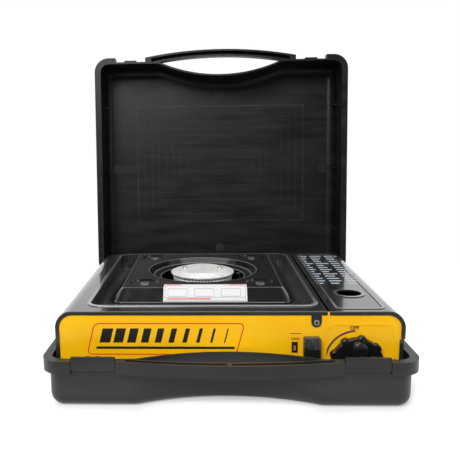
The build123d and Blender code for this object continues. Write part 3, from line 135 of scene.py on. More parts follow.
def spot_of(tree):
    """X, Y and Z of the Object coordinates, in metres."""
    spot = tree.nodes.new("ShaderNodeTexCoord").outputs["Object"]
    return wire(tree, "ShaderNodeSeparateXYZ", Vector=spot).outputs


def gap(tree, value, middle=0.0):
    """How far one coordinate lies from a middle, to either side."""
    return math_node(tree, "ABSOLUTE", math_node(tree, "SUBTRACT", value, middle))


def distance(tree, u, v, middle=(0.0, 0.0)):
    """How far two coordinates lie from a middle."""
    u, v = (math_node(tree, "SUBTRACT", value, start) for value, start in zip((u, v), middle))
    away = wire(tree, "ShaderNodeCombineXYZ", X=u, Y=v)
    length = wire(tree, "ShaderNodeVectorMath", i0=away.outputs["Vector"])
    length.operation = "LENGTH"
    return length.outputs["Value"]


# %% [markdown]
# ## Floor, light and background
# The stove stands on a white sweep. The wall behind it is white for the camera and for
# every gloss that mirrors it, and the room behind the camera is darker, so the front
# faces stay deep and the flat tops catch the pale wall. The floor glows a little for the
# camera, keeps the soft shadow under the case, and fades out further off, sooner towards
# the camera, where a photo table ends. Brighter lamps would whiten the floor too, but
# they would wash out the stove.

# %% World
room_front, room_wall, room_overhead = 0.2, 1.0, 0.5
front_to_wall, wall_to_overhead, wall_edge = (-0.35, 0.45), (0.2, 0.75), (-0.05, 0.25)
world = bpy.data.worlds.new("white_studio")
scene.world = world
world.use_nodes = True
tree = world.node_tree
sky_place = tree.nodes.new("ShaderNodeTexCoord").outputs["Generated"]
ways = wire(tree, "ShaderNodeSeparateXYZ", Vector=sky_place).outputs
backward = ramp_value(tree, ways["Y"], *front_to_wall, room_front, room_wall)
dimmer_above = ramp_value(tree, ways["Z"], *wall_to_overhead, 1.0, room_overhead)
room = math_node(tree, "MULTIPLY", backward, dimmer_above)
wall = ramp_value(tree, ways["Y"], *wall_edge, 0.0, 1.0)
path = tree.nodes.new("ShaderNodeLightPath").outputs
seen = math_node(tree, "MULTIPLY", path["Is Glossy Ray"], wall)
for rays in ("Is Camera Ray", "Is Transmission Ray"):
    seen = math_node(tree, "MAXIMUM", seen, path[rays])
brightness = math_node(tree, "MAXIMUM", room, seen)
plug(tree, tree.nodes["Background"], Color=(1, 1, 1, 1), Strength=brightness)
print("world of", len(tree.nodes), "nodes")

# %% Floor
floor_half, floor_glow = 3.0, 0.28
fade_start, fade_end = 0.3, 0.75
table_end, table_start = -0.34, -0.22
floor_mat = bpy.data.materials.new("white_sweep")
floor_mat.use_nodes = True
tree = floor_mat.node_tree
floor_shader = tree.nodes["Principled BSDF"]
path = tree.nodes.new("ShaderNodeLightPath").outputs
seen = math_node(tree, "MAXIMUM", path["Is Camera Ray"], path["Is Glossy Ray"])
seen = math_node(tree, "MAXIMUM", seen, path["Is Transmission Ray"])
plug(
    tree, floor_shader, Base_Color=(0.8, 0.8, 0.8, 1), Roughness=0.9, Specular_IOR_Level=0.1,
    Emission_Color=(1, 1, 1, 1), Emission_Strength=ramp_value(tree, seen, 0, 1, 0.0, floor_glow),
)
spot = spot_of(tree)
far_off = ramp_value(tree, distance(tree, spot["X"], spot["Y"]), fade_start, fade_end, 0.0, 1.0)
in_front = ramp_value(tree, spot["Y"], table_end, table_start, 1.0, 0.0)
fade = math_node(tree, "MAXIMUM", far_off, in_front)
clear = tree.nodes.new("ShaderNodeBsdfTransparent").outputs["BSDF"]
mixed = wire(tree, "ShaderNodeMixShader", i0=fade, i1=floor_shader.outputs["BSDF"], i2=clear)
plug(tree, tree.nodes["Material Output"], Surface=mixed.outputs["Shader"])
floor_mesh = bpy.data.meshes.new("white_sweep")
corners = [(x * floor_half, y * floor_half, 0) for x, y in ((-1, -1), (1, -1), (1, 1), (-1, 1))]
floor_mesh.from_pydata(corners, [], [(0, 1, 2, 3)])
floor_mesh.materials.append(floor_mat)
floor = bpy.data.objects.new("white_sweep", floor_mesh)
scene.collection.objects.link(floor)
print("floor", 2 * floor_half, "m wide")


# %% Lamps
def softbox(name, place, target, size, watts):
    """A rectangular area lamp at place that faces target."""
    lamp = bpy.data.lights.new(name, "AREA")
    lamp.shape = "RECTANGLE"
    lamp.size, lamp.size_y = size
    lamp.energy = watts
    holder = bpy.data.objects.new(name, lamp)
    aim = (Vector(target) - Vector(place)).to_track_quat("-Z", "Y")
    holder.matrix_world = Matrix.Translation(place) @ aim.to_matrix().to_4x4()
    scene.collection.objects.link(holder)


softbox("top_light", place=(-0.05, 0.15, 1.5), target=(0, 0, 0.05), size=(1.3, 0.9), watts=16)
softbox("front_light", place=(-0.5, -1.45, 1.25), target=(0, 0, 0.08), size=(0.8, 0.8), watts=32)
softbox("right_light", place=(1.3, -0.7, 0.8), target=(0, 0, 0.08), size=(0.6, 0.9), watts=5)

# %% [markdown]
# ## Finishes
# A finish is a Principled shader whose colour, roughness and bump come from noise on
# Object coordinates. Every CAD node sits at the origin, so one metre of noise is one
# metre of metal and the grain has its true size. An image texture would need a file and
# an unwrapped mesh. A few helpers are enough for every finish: they start the material,
# make a noise, turn it into colours, numbers or bump, and lay a second colour on top,
# which is mostly used for painted highlights and painted shade.


# %% Finish helpers
def start_finish(name, colour, roughness, metallic=0.0):
    """New material of one plain colour; gives it, its node tree and its main shader."""
    mat = bpy.data.materials.new(name)
    mat.use_nodes = True
    tree = mat.node_tree
    shader = tree.nodes["Principled BSDF"]
    plug(tree, shader, Base_Color=(*colour, 1), Roughness=roughness, Metallic=metallic)
    return mat, tree, shader


def grain(tree, scale, stretch=(1, 1, 1), detail=3.0):
    """Noise on Object coordinates, scale in grains per metre."""
    spot = tree.nodes.new("ShaderNodeTexCoord").outputs["Object"]
    place = wire(tree, "ShaderNodeMapping", Vector=spot, Scale=stretch)
    noise = wire(tree, "ShaderNodeTexNoise", Vector=place.outputs["Vector"], Scale=scale, Detail=detail)
    return noise.outputs["Fac"]


def tint(tree, factor, *stops):
    """Colour ramp over a noise, between two stops of a place and a colour."""
    ramp = wire(tree, "ShaderNodeValToRGB", Fac=factor)
    for element, (place, colour) in zip(ramp.color_ramp.elements, stops):
        element.position, element.color = place, (*colour, 1)
    return ramp.outputs["Color"]


def spread(tree, noise, low, high):
    """The middle of a noise turned into a range of numbers."""
    return ramp_value(tree, noise, 0.3, 0.7, low, high)


def emboss(tree, shader, height, depth, strength):
    """Bump of a given depth in metres."""
    bump = wire(tree, "ShaderNodeBump", Height=height, Distance=depth, Strength=strength)
    plug(tree, shader, Normal=bump.outputs["Normal"])


def blend(tree, share, under, over):
    """Colour under, with the plain colour over laid on it by share."""
    mix = wire(tree, "ShaderNodeMixRGB", Fac=share, Color1=under, Color2=(*over, 1))
    return mix.outputs["Color"]


def dress(mat, *names):
    """Puts a finish on CAD nodes."""
    for name in names:
        for place in nodes[name].material_slots:
            place.material = mat
    print(mat.name, "on", ", ".join(names))


def middle_of(name):
    """Middle of a CAD node's box."""
    low, high = (Vector(corner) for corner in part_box(name))
    return (low + high) / 2


# %% [markdown]
# ### Moulded case plastic
# The case is moulded from a matte black plastic that looks dark grey under soft light.
# It has a fine pebble, faint flow streaks from the mould and a slightly uneven sheen.
# Inside the lid the steps between the nested flat fields and the four round pads get
# painted highlights, paler lines where their edges would catch the light. They are drawn on
# Object coordinates: the steps from the distance to a rectangle, folded every 11 mm, and the pads from the
# distance to their middles.

# %% Painted highlights inside the lid
field_middle, field_half_width, field_half_height = 0.2124, 0.126, 0.087
field_step, step_line = 0.011, (0.0005, 0.0011)
pads_middle, pad_edge = 0.2, (0.007, 0.0076)
side_pads, end_pads = (0.157, 0.204), (0.0, 0.117)


def lid_step_highlights(tree):
    """Share of painted highlight on the steps and pads inside the lid."""
    texture = tree.nodes.new("ShaderNodeTexCoord").outputs
    spot = wire(tree, "ShaderNodeSeparateXYZ", Vector=texture["Object"]).outputs
    facing = wire(tree, "ShaderNodeSeparateXYZ", Vector=texture["Normal"]).outputs
    beside = math_node(tree, "SUBTRACT", gap(tree, spot["X"]), field_half_width)
    above = math_node(tree, "SUBTRACT", gap(tree, spot["Z"], field_middle), field_half_height)
    outside = math_node(tree, "MAXIMUM", beside, above)
    folded = math_node(tree, "PINGPONG", outside, field_step / 2)
    # Painted highlight: pale lines along the steps between the nested fields.
    marks = ramp_value(tree, folded, *step_line, 1.0, 0.0)
    fainter_within = ramp_value(tree, outside, -0.009, -0.002, 0.4, 1.0)
    none_beyond = ramp_value(tree, outside, 0.001, 0.0012, 1.0, 0.0)
    for share in (fainter_within, none_beyond):
        marks = math_node(tree, "MULTIPLY", marks, share)
    # Painted highlight on the four round pads.
    to_side_pads = distance(tree, gap(tree, spot["X"]), spot["Z"], side_pads)
    to_end_pads = distance(tree, spot["X"], gap(tree, spot["Z"], pads_middle), end_pads)
    for reach in (to_side_pads, to_end_pads):
        marks = math_node(tree, "MAXIMUM", marks, ramp_value(tree, reach, *pad_edge, 0.8, 0.0))
    inner_side = ramp_value(tree, facing["Y"], -0.6, -0.4, 1.0, 0.0)
    patchy = ramp_value(tree, grain(tree, 30, detail=4), 0.4, 0.7, 0.2, 0.8)
    return math_node(tree, "MULTIPLY", math_node(tree, "MULTIPLY", marks, inner_side), patchy)


# %% Case plastic
def case_plastic(name, dark, pale, gloss, fields=False):
    """Case plastic between two greys; with fields, painted highlights on the steps and pads inside the lid
    too.
    """
    mat, tree, shader = start_finish(name, (pale, pale, pale), 0.4)
    flow = grain(tree, 14, (1, 1, 6), 5)
    colour = tint(tree, flow, (0.35, (dark, dark, dark)), (0.68, (pale, pale, pale)))
    if fields:
        # Painted highlights laid on the plastic's own colour.
        colour = blend(tree, lid_step_highlights(tree), colour, (0.04, 0.04, 0.041))
    sheen = spread(tree, flow, 0.32, 0.46)
    plug(tree, shader, Base_Color=colour, Roughness=sheen, Specular_IOR_Level=gloss)
    emboss(tree, shader, grain(tree, 2600, detail=2), 0.00006, 0.35)
    return mat


dress(case_plastic("case_plastic", 0.012, 0.02, 0.35), "case_base", "latch_left", "latch_right")
# The lid takes darker greys than the case: painted shade for its dim inside, besides its painted
# highlights.
dress(case_plastic("lid_plastic", 0.005, 0.011, 0.22, True), "case_lid")

# %% [markdown]
# ### Painted sheet steel
# The top plate, the cover and the pan have a semi-gloss black paint, the front panel a
# gloss yellow. Sprayed paint dries with a faint orange peel about 2 mm across, which is
# what breaks up the reflections. The yellow gathers a little deeper in patches. The black
# has painted highlights in pale grey where it stands proud: on the bead round the recess, on
# the rim of the sight hole and along the front edge, fainter towards the back. Each is a
# band of height or depth in metres.

# %% Black paint
bead_height, bead_to_back = (0.0902, 0.0906), (-0.11, -0.08)
front_edge, front_edge_height = (-0.129, -0.1286), (0.089, 0.0894)
black_mat, tree, shader = start_finish("black_paint", (0.012, 0.012, 0.013), 0.26)
spot = spot_of(tree)
# Painted highlight on the bead and the sight hole's rim, fainter towards the back.
raised = ramp_value(tree, spot["Z"], *bead_height, 0.0, 1.0)
raised = math_node(tree, "MULTIPLY", raised, ramp_value(tree, spot["Y"], *bead_to_back, 1.0, 0.3))
# Painted highlight along the plate's front edge.
edge = ramp_value(tree, spot["Y"], *front_edge, 0.6, 0.0)
edge = math_node(tree, "MULTIPLY", edge, ramp_value(tree, spot["Z"], *front_edge_height, 0.0, 1.0))
paint_highlight = math_node(tree, "MAXIMUM", raised, edge)
cloud = grain(tree, 22, detail=4)
colour = tint(tree, cloud, (0.3, (0.016, 0.016, 0.017)), (0.75, (0.028, 0.028, 0.029)))
plug(
    tree, shader, Base_Color=blend(tree, paint_highlight, colour, (0.2, 0.2, 0.205)),
    Roughness=spread(tree, cloud, 0.13, 0.22), Coat_Weight=0.6, Coat_Roughness=0.07,
)
emboss(tree, shader, grain(tree, 480, detail=1), 0.00002, 0.3)
dress(black_mat, "top_plate", "cartridge_cover", "base_pan")

# %% Yellow paint
yellow_mat, tree, shader = start_finish("yellow_paint", (0.97, 0.52, 0.006), 0.24)
cloud = grain(tree, 18, detail=4)
colour = tint(tree, cloud, (0.3, (0.95, 0.49, 0.003)), (0.75, (0.99, 0.55, 0.008)))
plug(tree, shader, Base_Color=colour, Specular_IOR_Level=0.3, Coat_Weight=0.2, Coat_Roughness=0.08)
emboss(tree, shader, grain(tree, 420, detail=1), 0.00002, 0.25)
dress(yellow_mat, "front_panel")

# %% [markdown]
# ### Enamel
# The pan support and its legs are dipped in glass enamel and fired. It is blacker and
# glossier than the paint, with slow waves where the melt ran and a few fine pits. The
# gloss is burnt off in the dish round the flame hole, and the edges of the dish and of the
# flat top have painted highlights, thin pale grey lines. Both are found from the burner's
# middle, so they stay on the pressed edges of the plate.

# %% Enamel
dish_end, dish_edges = (0.068, 0.0705), (0.0514, 0.0595, 0.0662)
flat_top_half = 0.0878
flat_top_line, dish_line, enamel_highlight_share = (0.0003, 0.0009), (0.0004, 0.001), 0.8
burner = middle_of("burner_cap")
enamel_mat, tree, shader = start_finish("black_enamel", (0.006, 0.006, 0.007), 0.12)
run = grain(tree, 70, detail=2)
emboss(tree, shader, run, 0.0003, 0.25)
spot = spot_of(tree)
out = distance(tree, spot["X"], spot["Y"], burner.xy)
dish = ramp_value(tree, out, *dish_end, 1.0, 0.0)
square = math_node(tree, "MAXIMUM", gap(tree, spot["X"], burner.x), gap(tree, spot["Y"], burner.y))
# Painted highlights: thin pale grey lines on the edges of the flat top and of the dish.
rim = ramp_value(tree, gap(tree, square, flat_top_half), *flat_top_line, enamel_highlight_share, 0.0)
for radius in dish_edges:
    ring = ramp_value(tree, gap(tree, out, radius), *dish_line, enamel_highlight_share, 0.0)
    rim = math_node(tree, "MAXIMUM", rim, ring)
pits = grain(tree, 900, detail=2)
colour = tint(tree, pits, (0.3, (0.004, 0.004, 0.005)), (0.8, (0.011, 0.011, 0.012)))
plug(
    tree, shader, Base_Color=blend(tree, rim, colour, (0.12, 0.12, 0.125)),
    Roughness=spread(tree, run, 0.09, 0.18), Coat_Roughness=0.05,
    Coat_Weight=ramp_value(tree, dish, 0, 1, 0.8, 0.1),
    Specular_IOR_Level=ramp_value(tree, dish, 0, 1, 0.5, 0.2),
)
dress(enamel_mat, "pan_support", "support_legs")

# %% [markdown]
# ### Metals
# The burner is die-cast alloy with a satin, slightly cloudy skin. Its cap has painted shade,
# near black, inside the ring of ports, and a painted highlight, a pale band that is not
# metallic, along its foot. Brackets, rods and screws are zinc-plated steel with a faint rolled
# grain, and the heat shield is the same sheet. The electrode is burnt dark, the screw in the
# front tab has the same steel with a paler ring round its middle, and the jet is turned brass.
# A stretched noise gives a rolled or turned grain without a texture file.

# %% Cast alloy
cap_foot, port_ring, port_height = (0.0866, 0.087), (0.0358, 0.0362), (0.089, 0.0895)


def alloy(name, ports=False):
    """Cast alloy; with ports, painted shade inside the ring of flame ports and a painted highlight below
    it.
    """
    mat, tree, shader = start_finish(name, (0.78, 0.78, 0.76), 0.45, 0.5)
    cast = grain(tree, 300, detail=4)
    colour = tint(tree, cast, (0.25, (0.66, 0.66, 0.64)), (0.75, (0.86, 0.86, 0.84)))
    if ports:
        spot = spot_of(tree)
        # Painted highlight: the foot is pale and not metallic.
        foot = ramp_value(tree, spot["Z"], *cap_foot, 1.0, 0.0)
        colour = blend(tree, foot, colour, (0.95, 0.95, 0.93))
        plug(tree, shader, Metallic=ramp_value(tree, foot, 0, 1, 0.5, 0.0))
        out = distance(tree, spot["X"], spot["Y"], burner.xy)
        # Painted shade: near black inside the ring of ports, below their top.
        port_shade = ramp_value(tree, out, *port_ring, 1.0, 0.0)
        port_shade = math_node(tree, "MULTIPLY", port_shade, ramp_value(tree, spot["Z"], *port_height, 1.0, 0.0))
        colour = blend(tree, port_shade, colour, (0.004, 0.004, 0.004))
    plug(tree, shader, Base_Color=colour, Roughness=spread(tree, cast, 0.36, 0.52))
    emboss(tree, shader, grain(tree, 1500, detail=2), 0.00005, 0.4)
    return mat


dress(alloy("burner_alloy"), "burner_head", "gas_governor", "valve_housing")
dress(alloy("cap_alloy", True), "burner_cap")

# %% Steel
steel_mat, tree, shader = start_finish("plain_steel", (0.55, 0.56, 0.58), 0.32, 1.0)
rolled = grain(tree, 60, (1, 22, 1), 4)
colour = tint(tree, rolled, (0.3, (0.42, 0.43, 0.45)), (0.7, (0.62, 0.63, 0.65)))
plug(tree, shader, Base_Color=colour, Roughness=spread(tree, rolled, 0.24, 0.42))
emboss(tree, shader, rolled, 0.00002, 0.3)
dress(
    steel_mat, "case_hinge_pins", "heat_shield", "cover_hinge_pins", "support_rivets",
    "burner_screws", "burner_bracket", "mixing_tube", "electrode_bracket", "cartridge_rests",
    "governor_bracket", "valve_spindle", "lever_slide", "lever_guide", "lever_bracket", "lock_crank",
    "cartridge_hook",
)

# %% Dull steel and brass
rim_inside, rim_outside = (0.0012, 0.0016), (0.0025, 0.0029)
dull_mat, tree, shader = start_finish("dull_steel", (0.2, 0.19, 0.17), 0.4, 0.6)
spot = spot_of(tree)
out = distance(tree, spot["X"], spot["Z"], middle_of("panel_screw").xz)
# A paler ring round the screw's middle.
rim = ramp_value(tree, out, *rim_inside, 0.0, 1.0)
rim = math_node(tree, "MULTIPLY", rim, ramp_value(tree, out, *rim_outside, 1.0, 0.0))
colour = tint(tree, grain(tree, 700), (0.3, (0.02, 0.019, 0.016)), (0.7, (0.07, 0.066, 0.06)))
plug(tree, shader, Base_Color=blend(tree, rim, colour, (0.34, 0.33, 0.3)))
dress(dull_mat, "panel_screw", "electrode")

brass_mat, tree, shader = start_finish("nozzle_brass", (0.72, 0.5, 0.2), 0.28, 1.0)
turned = grain(tree, 900, (0.05, 1, 1), 2)
plug(tree, shader, Roughness=spread(tree, turned, 0.2, 0.38))
emboss(tree, shader, turned, 0.00002, 0.3)
dress(brass_mat, "gas_nozzle")

# %% [markdown]
# ### Small plastics, ceramic and rubber
# The knob is gloss black plastic, the thumb lever and the igniter a duller grey-black. The
# lever's upper half has a painted highlight and its lower half painted shade. The spark
# electrode sits in glazed ceramic, and the feet are soft rubber. One noise each is enough at this size.

# %% Small plastics
lever_half = (0.053, 0.055)
knob_mat, tree, shader = start_finish("knob_plastic", (0.007, 0.007, 0.007), 0.2)
plug(tree, shader, Roughness=spread(tree, grain(tree, 160), 0.15, 0.28))
emboss(tree, shader, grain(tree, 1200, detail=2), 0.00002, 0.25)
dress(knob_mat, "control_knob")

lever_mat, tree, shader = start_finish("lever_plastic", (0.03, 0.03, 0.032), 0.34)
# Painted light and shade: the lever's upper half paler, its lower half darker.
lever_light_and_shade = ramp_value(tree, spot_of(tree)["Z"], *lever_half, 0.5, 1.3)
lever_light_and_shade = math_node(tree, "MULTIPLY", grain(tree, 220), lever_light_and_shade)
colour = tint(tree, lever_light_and_shade, (0.3, (0.01, 0.01, 0.011)), (0.75, (0.06, 0.06, 0.064)))
plug(tree, shader, Base_Color=colour)
emboss(tree, shader, grain(tree, 1600, detail=2), 0.00004, 0.3)
dress(lever_mat, "lock_lever", "piezo_igniter")

# %% Ceramic and rubber
ceramic_mat, tree, shader = start_finish("white_ceramic", (0.82, 0.8, 0.75), 0.2)
colour = tint(tree, grain(tree, 700), (0.3, (0.74, 0.72, 0.66)), (0.6, (0.84, 0.82, 0.78)))
plug(tree, shader, Base_Color=colour)
dress(ceramic_mat, "insulator")

rubber_mat, tree, shader = start_finish("foot_rubber", (0.02, 0.02, 0.02), 0.8)
colour = tint(tree, grain(tree, 500), (0.3, (0.014, 0.014, 0.014)), (0.7, (0.028, 0.028, 0.028)))
plug(tree, shader, Base_Color=colour)
emboss(tree, shader, grain(tree, 2000), 0.0001, 0.4)
dress(rubber_mat, "feet")

# %% [markdown]
# ## Printed marks
# Screen print is a film of ink about a tenth of a millimetre thick. It could be painted in
# the sheet's own material, but a thin closed piece keeps a sharp edge at any distance.
# Lines and outlines are ribbons: a path of points on a flat plane, widened to both sides
# and then given the film's thickness. Each mark rides the body that it is printed on.


# %% Inks
def ink(name, colour, patchy):
    """Printing ink with slightly thin spots."""
    mat, tree, shader = start_finish(name, colour, 0.4)
    thin = tint(tree, grain(tree, 900, detail=4), (0.34, patchy), (0.5, colour))
    plug(tree, shader, Base_Color=thin, Specular_IOR_Level=0.25)
    print("ink", name)
    return mat


black_ink = ink("black_ink", (0.012, 0.011, 0.012), (0.04, 0.03, 0.012))
red_ink = ink("red_ink", (0.68, 0.02, 0.02), (0.75, 0.08, 0.02))
plum_ink = ink("plum_ink", (0.13, 0.04, 0.045), (0.2, 0.07, 0.05))
amber_ink = ink("amber_ink", (0.85, 0.25, 0.02), (0.6, 0.16, 0.02))
pale_ink = ink("pale_ink", (0.2, 0.21, 0.22), (0.3, 0.31, 0.32))
cover_ink = ink("cover_ink", (0.4, 0.44, 0.48), (0.06, 0.07, 0.08))
label_film = ink("label_film", (0.63, 0.63, 0.64), (0.58, 0.58, 0.59))

# %% Ribbons and films
FILM = 0.00012
SHARPEST_MITRE = 0.4


def ribbon(path, width, closed=False):
    """Strip along a line of some width, mitred at its corners."""
    spots = [Vector(point) for point in path]
    count = len(spots)
    left, right = [], []
    for i, spot in enumerate(spots):
        ways = []
        if closed or i > 0:
            ways.append((spot - spots[i - 1]).normalized())
        if closed or i < count - 1:
            ways.append((spots[(i + 1) % count] - spot).normalized())
        way = sum(ways, Vector((0, 0))).normalized()
        side = Vector((-way.y, way.x)) * (width / 2 / max(SHARPEST_MITRE, way.dot(ways[0])))
        left.append(spot + side)
        right.append(spot - side)
    return left, right, closed


def bar(u0, v0, u1, v1, lean=0.0):
    """Strip between two corners, leaning sideways by lean over its height."""
    return [(u0, v0), (u0 + lean, v1)], [(u1, v0), (u1 + lean, v1)], False


def rounded(u0, v0, u1, v1, radius, lean=0.0, steps=8):
    """Rounded outline that leans by lean over its height."""
    middles = (
        (u1 - radius, v1 - radius), (u0 + radius, v1 - radius),
        (u0 + radius, v0 + radius), (u1 - radius, v0 + radius),
    )
    points = []
    for quarter, (u, v) in enumerate(middles):
        for step in range(steps + 1):
            angle = math.radians(90 * (quarter + step / steps))
            height = v + radius * math.sin(angle)
            points.append((u + radius * math.cos(angle) + lean * (height - v0) / (v1 - v0), height))
    return points


def settle(name, data, body):
    """Makes a finished mesh a piece that rides a body."""
    piece = bpy.data.objects.new(name, data)
    scene.collection.objects.link(piece)
    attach(piece, body)
    print(name, len(data.polygons), "faces")
    return piece


def film(name, strips, mat, place, body):
    """Thin closed piece from strips; place turns (u, v, depth) into a point."""
    mesh = bmesh.new()
    for left, right, closed in strips:
        rows = [
            [mesh.verts.new(place(*point, depth)) for point in line]
            for depth in (0, FILM)
            for line in (left, right)
        ]
        count = len(left)
        for i in range(count if closed else count - 1):
            j = (i + 1) % count
            ring = [(rows[k][i], rows[k][j]) for k in (0, 1, 3, 2)]
            for (a, b), (c, d) in zip(ring, ring[1:] + ring[:1]):
                mesh.faces.new((a, b, d, c))
        if not closed:
            for i in (0, count - 1):
                mesh.faces.new([rows[k][i] for k in (0, 1, 3, 2)])
    bmesh.ops.recalc_face_normals(mesh, faces=mesh.faces)
    data = bpy.data.meshes.new(name)
    mesh.to_mesh(data)
    mesh.free()
    data.materials.append(mat)
    settle(name, data, body)


# %% [markdown]
# ### Front panel
# The front has a red outline with a stripe inside it, a thin flame-size arc round the
# knob and a small black window beside the lever that shows whether the cartridge is held.
# All of it is placed in millimetres across and up the panel, as on a printer's drawing.

# %% Front panel print
panel_front = -0.1291
outline_left, outline_right, outline_foot, outline_top = -139, 8, 46, 77.5
outline_corner, outline_lean, outline_line = 5, 8, 1.0
dial_u, dial_v, dial_radius, dial_line = 124, 40.5, 29.6, 2.0


def on_panel(u, v, depth):
    """Point on the front panel, u and v in millimetres."""
    return (u / 1000, panel_front - depth, v / 1000)


def on_window(u, v, depth):
    """Point on the black window, which is a film itself."""
    return on_panel(u, v, depth + FILM)


outline = rounded(
    outline_left, outline_foot, outline_right, outline_top, outline_corner, outline_lean
)
outline = ribbon(outline, outline_line, True)
film("panel_outline", [outline], red_ink, on_panel, "stove")
stripe = bar(-130, 51.5, 6, 54, 0.7)
window = bar(61.6, 48, 67.6, 59)
lever_line = bar(60, 67.4, 70.5, 67.9)
film("panel_stripes", [stripe, window, lever_line], black_ink, on_panel, "stove")
arc = [
    (dial_u + dial_radius * math.cos(angle), dial_v + dial_radius * math.sin(angle))
    for angle in map(math.radians, range(93, 184, 3))
]
film("dial_arc", [ribbon(arc, dial_line)], plum_ink, on_panel, "stove")
window_marks = [bar(63.6, 50.6, 65.6, 52.4), bar(63.6, 53.2, 65.6, 55)]
film("window_marks", window_marks, amber_ink, on_window, "stove")

# %% [markdown]
# Words on a switch are plain text. A font curve is turned into a mesh first, and then
# its points are moved onto the panel, so that the finished piece sits at the origin.

# %% Switch words
BOLDER = 0.025


def words(name, text, size, u, v):
    """Black word on the front panel, of the film's thickness, centred on u, v."""
    font = bpy.data.curves.new(name, "FONT")
    font.body, font.size = text, size
    font.align_x, font.align_y = "CENTER", "CENTER"
    font.extrude = FILM / 2 * 1000
    font.offset = size * BOLDER
    holder = bpy.data.objects.new(name, font)
    scene.collection.objects.link(holder)
    data = bpy.data.meshes.new_from_object(holder.evaluated_get(bpy.context.evaluated_depsgraph_get()))
    bpy.data.objects.remove(holder)
    for vertex in data.vertices:
        x, y, z = vertex.co
        vertex.co = on_panel(u + x, v + y, FILM / 2 + z / 1000)
    data.materials.clear()
    data.materials.append(black_ink)
    settle(name, data, "stove")


words("dial_word", "OFF", size=5.0, u=121.6, v=73.0)
words("lever_word", "LOCK", size=3.0, u=65.2, v=62.2)

# %% [markdown]
# ### Slanted bars and ruled lines
# The bars inside the outline and the ruled lines on the cover repeat, so one Geometry
# Nodes tree makes both: points on a line, a box on each point whose length falls from
# the first to the last, and a slant at the end. Its sizes are the tree's inputs. A loop
# over strips would do as well, but the tree can be tried out by hand in Blender.


# %% Geometry Nodes helpers
def start_tree(name, **inputs):
    """New Geometry Nodes tree with named inputs; gives it and its input sockets."""
    tree = bpy.data.node_groups.new(name, "GeometryNodeTree")
    for title, kind in inputs.items():
        title = title.replace("_", " ")
        tree.interface.new_socket(title, in_out="INPUT", socket_type="NodeSocket" + kind)
    tree.interface.new_socket("Geometry", in_out="OUTPUT", socket_type="NodeSocketGeometry")
    return tree, tree.nodes.new("NodeGroupInput").outputs


def end_tree(tree, shape, mat):
    """Sets the material of the finished shape and hands it out."""
    painted = wire(tree, "GeometryNodeSetMaterial", Geometry=shape, Material=mat)
    wire(tree, "NodeGroupOutput", Geometry=painted.outputs["Geometry"])
    return tree


def grow(name, tree, body, slot, **sizes):
    """Runs a tree with these inputs and keeps the result as a plain mesh."""
    seed = bpy.data.objects.new(name + "_tree", bpy.data.meshes.new(name + "_tree"))
    scene.collection.objects.link(seed)
    modifier = seed.modifiers.new("grow", "NODES")
    modifier.node_group = tree
    for socket in tree.interface.items_tree:
        if socket.in_out == "INPUT":
            modifier[socket.identifier] = sizes[socket.name.lower().replace(" ", "_")]
    data = bpy.data.meshes.new_from_object(seed.evaluated_get(bpy.context.evaluated_depsgraph_get()))
    bpy.data.objects.remove(seed)
    data.name = name
    return settle(name, data, body)


# %% A row of bars
def bar_tree():
    """Row of boxes that shrink along the row, differ a little in length and lean."""
    tree, given = start_tree(
        "row_of_bars", Count="Int", Start="Vector", Pitch="Vector", Size="Vector",
        Last_Share="Float", Loose="Float", Lean="Float", Ink="Material",
    )
    line = wire(
        tree, "GeometryNodeMeshLine", Count=given["Count"], Start_Location=given["Start"],
        Offset=given["Pitch"],
    )
    half = wire(tree, "ShaderNodeVectorMath", i0=given["Size"], i1=(0.5, 0.5, 0.5))
    half.operation = "MULTIPLY"
    box = wire(tree, "GeometryNodeMeshCube", Size=given["Size"]).outputs["Mesh"]
    cornered = wire(tree, "GeometryNodeTransform", Geometry=box, Translation=half.outputs["Vector"])
    index = tree.nodes.new("GeometryNodeInputIndex").outputs["Index"]
    last = math_node(tree, "SUBTRACT", given["Count"], 1.0)
    share = ramp_value(tree, index, 0.0, last, 1.0, given["Last Share"])
    least = math_node(tree, "SUBTRACT", 1.0, given["Loose"])
    chance = wire(tree, "FunctionNodeRandomValue", Min=least, Seed=7).outputs["Value"]
    length = math_node(tree, "MULTIPLY", share, chance)
    scale = wire(tree, "ShaderNodeCombineXYZ", X=length, Y=1.0, Z=1.0)
    copies = wire(
        tree, "GeometryNodeInstanceOnPoints", Points=line.outputs["Mesh"],
        Instance=cornered.outputs["Geometry"], Scale=scale.outputs["Vector"],
    )
    real = wire(tree, "GeometryNodeRealizeInstances", Geometry=copies.outputs["Instances"])
    position = tree.nodes.new("GeometryNodeInputPosition").outputs["Position"]
    height = wire(tree, "ShaderNodeSeparateXYZ", Vector=position).outputs["Z"]
    slant = wire(tree, "ShaderNodeCombineXYZ", X=math_node(tree, "MULTIPLY", height, given["Lean"]))
    leaning = wire(
        tree, "GeometryNodeSetPosition", Geometry=real.outputs["Geometry"], Offset=slant.outputs["Vector"]
    )
    return end_tree(tree, leaning.outputs["Geometry"], given["Ink"])


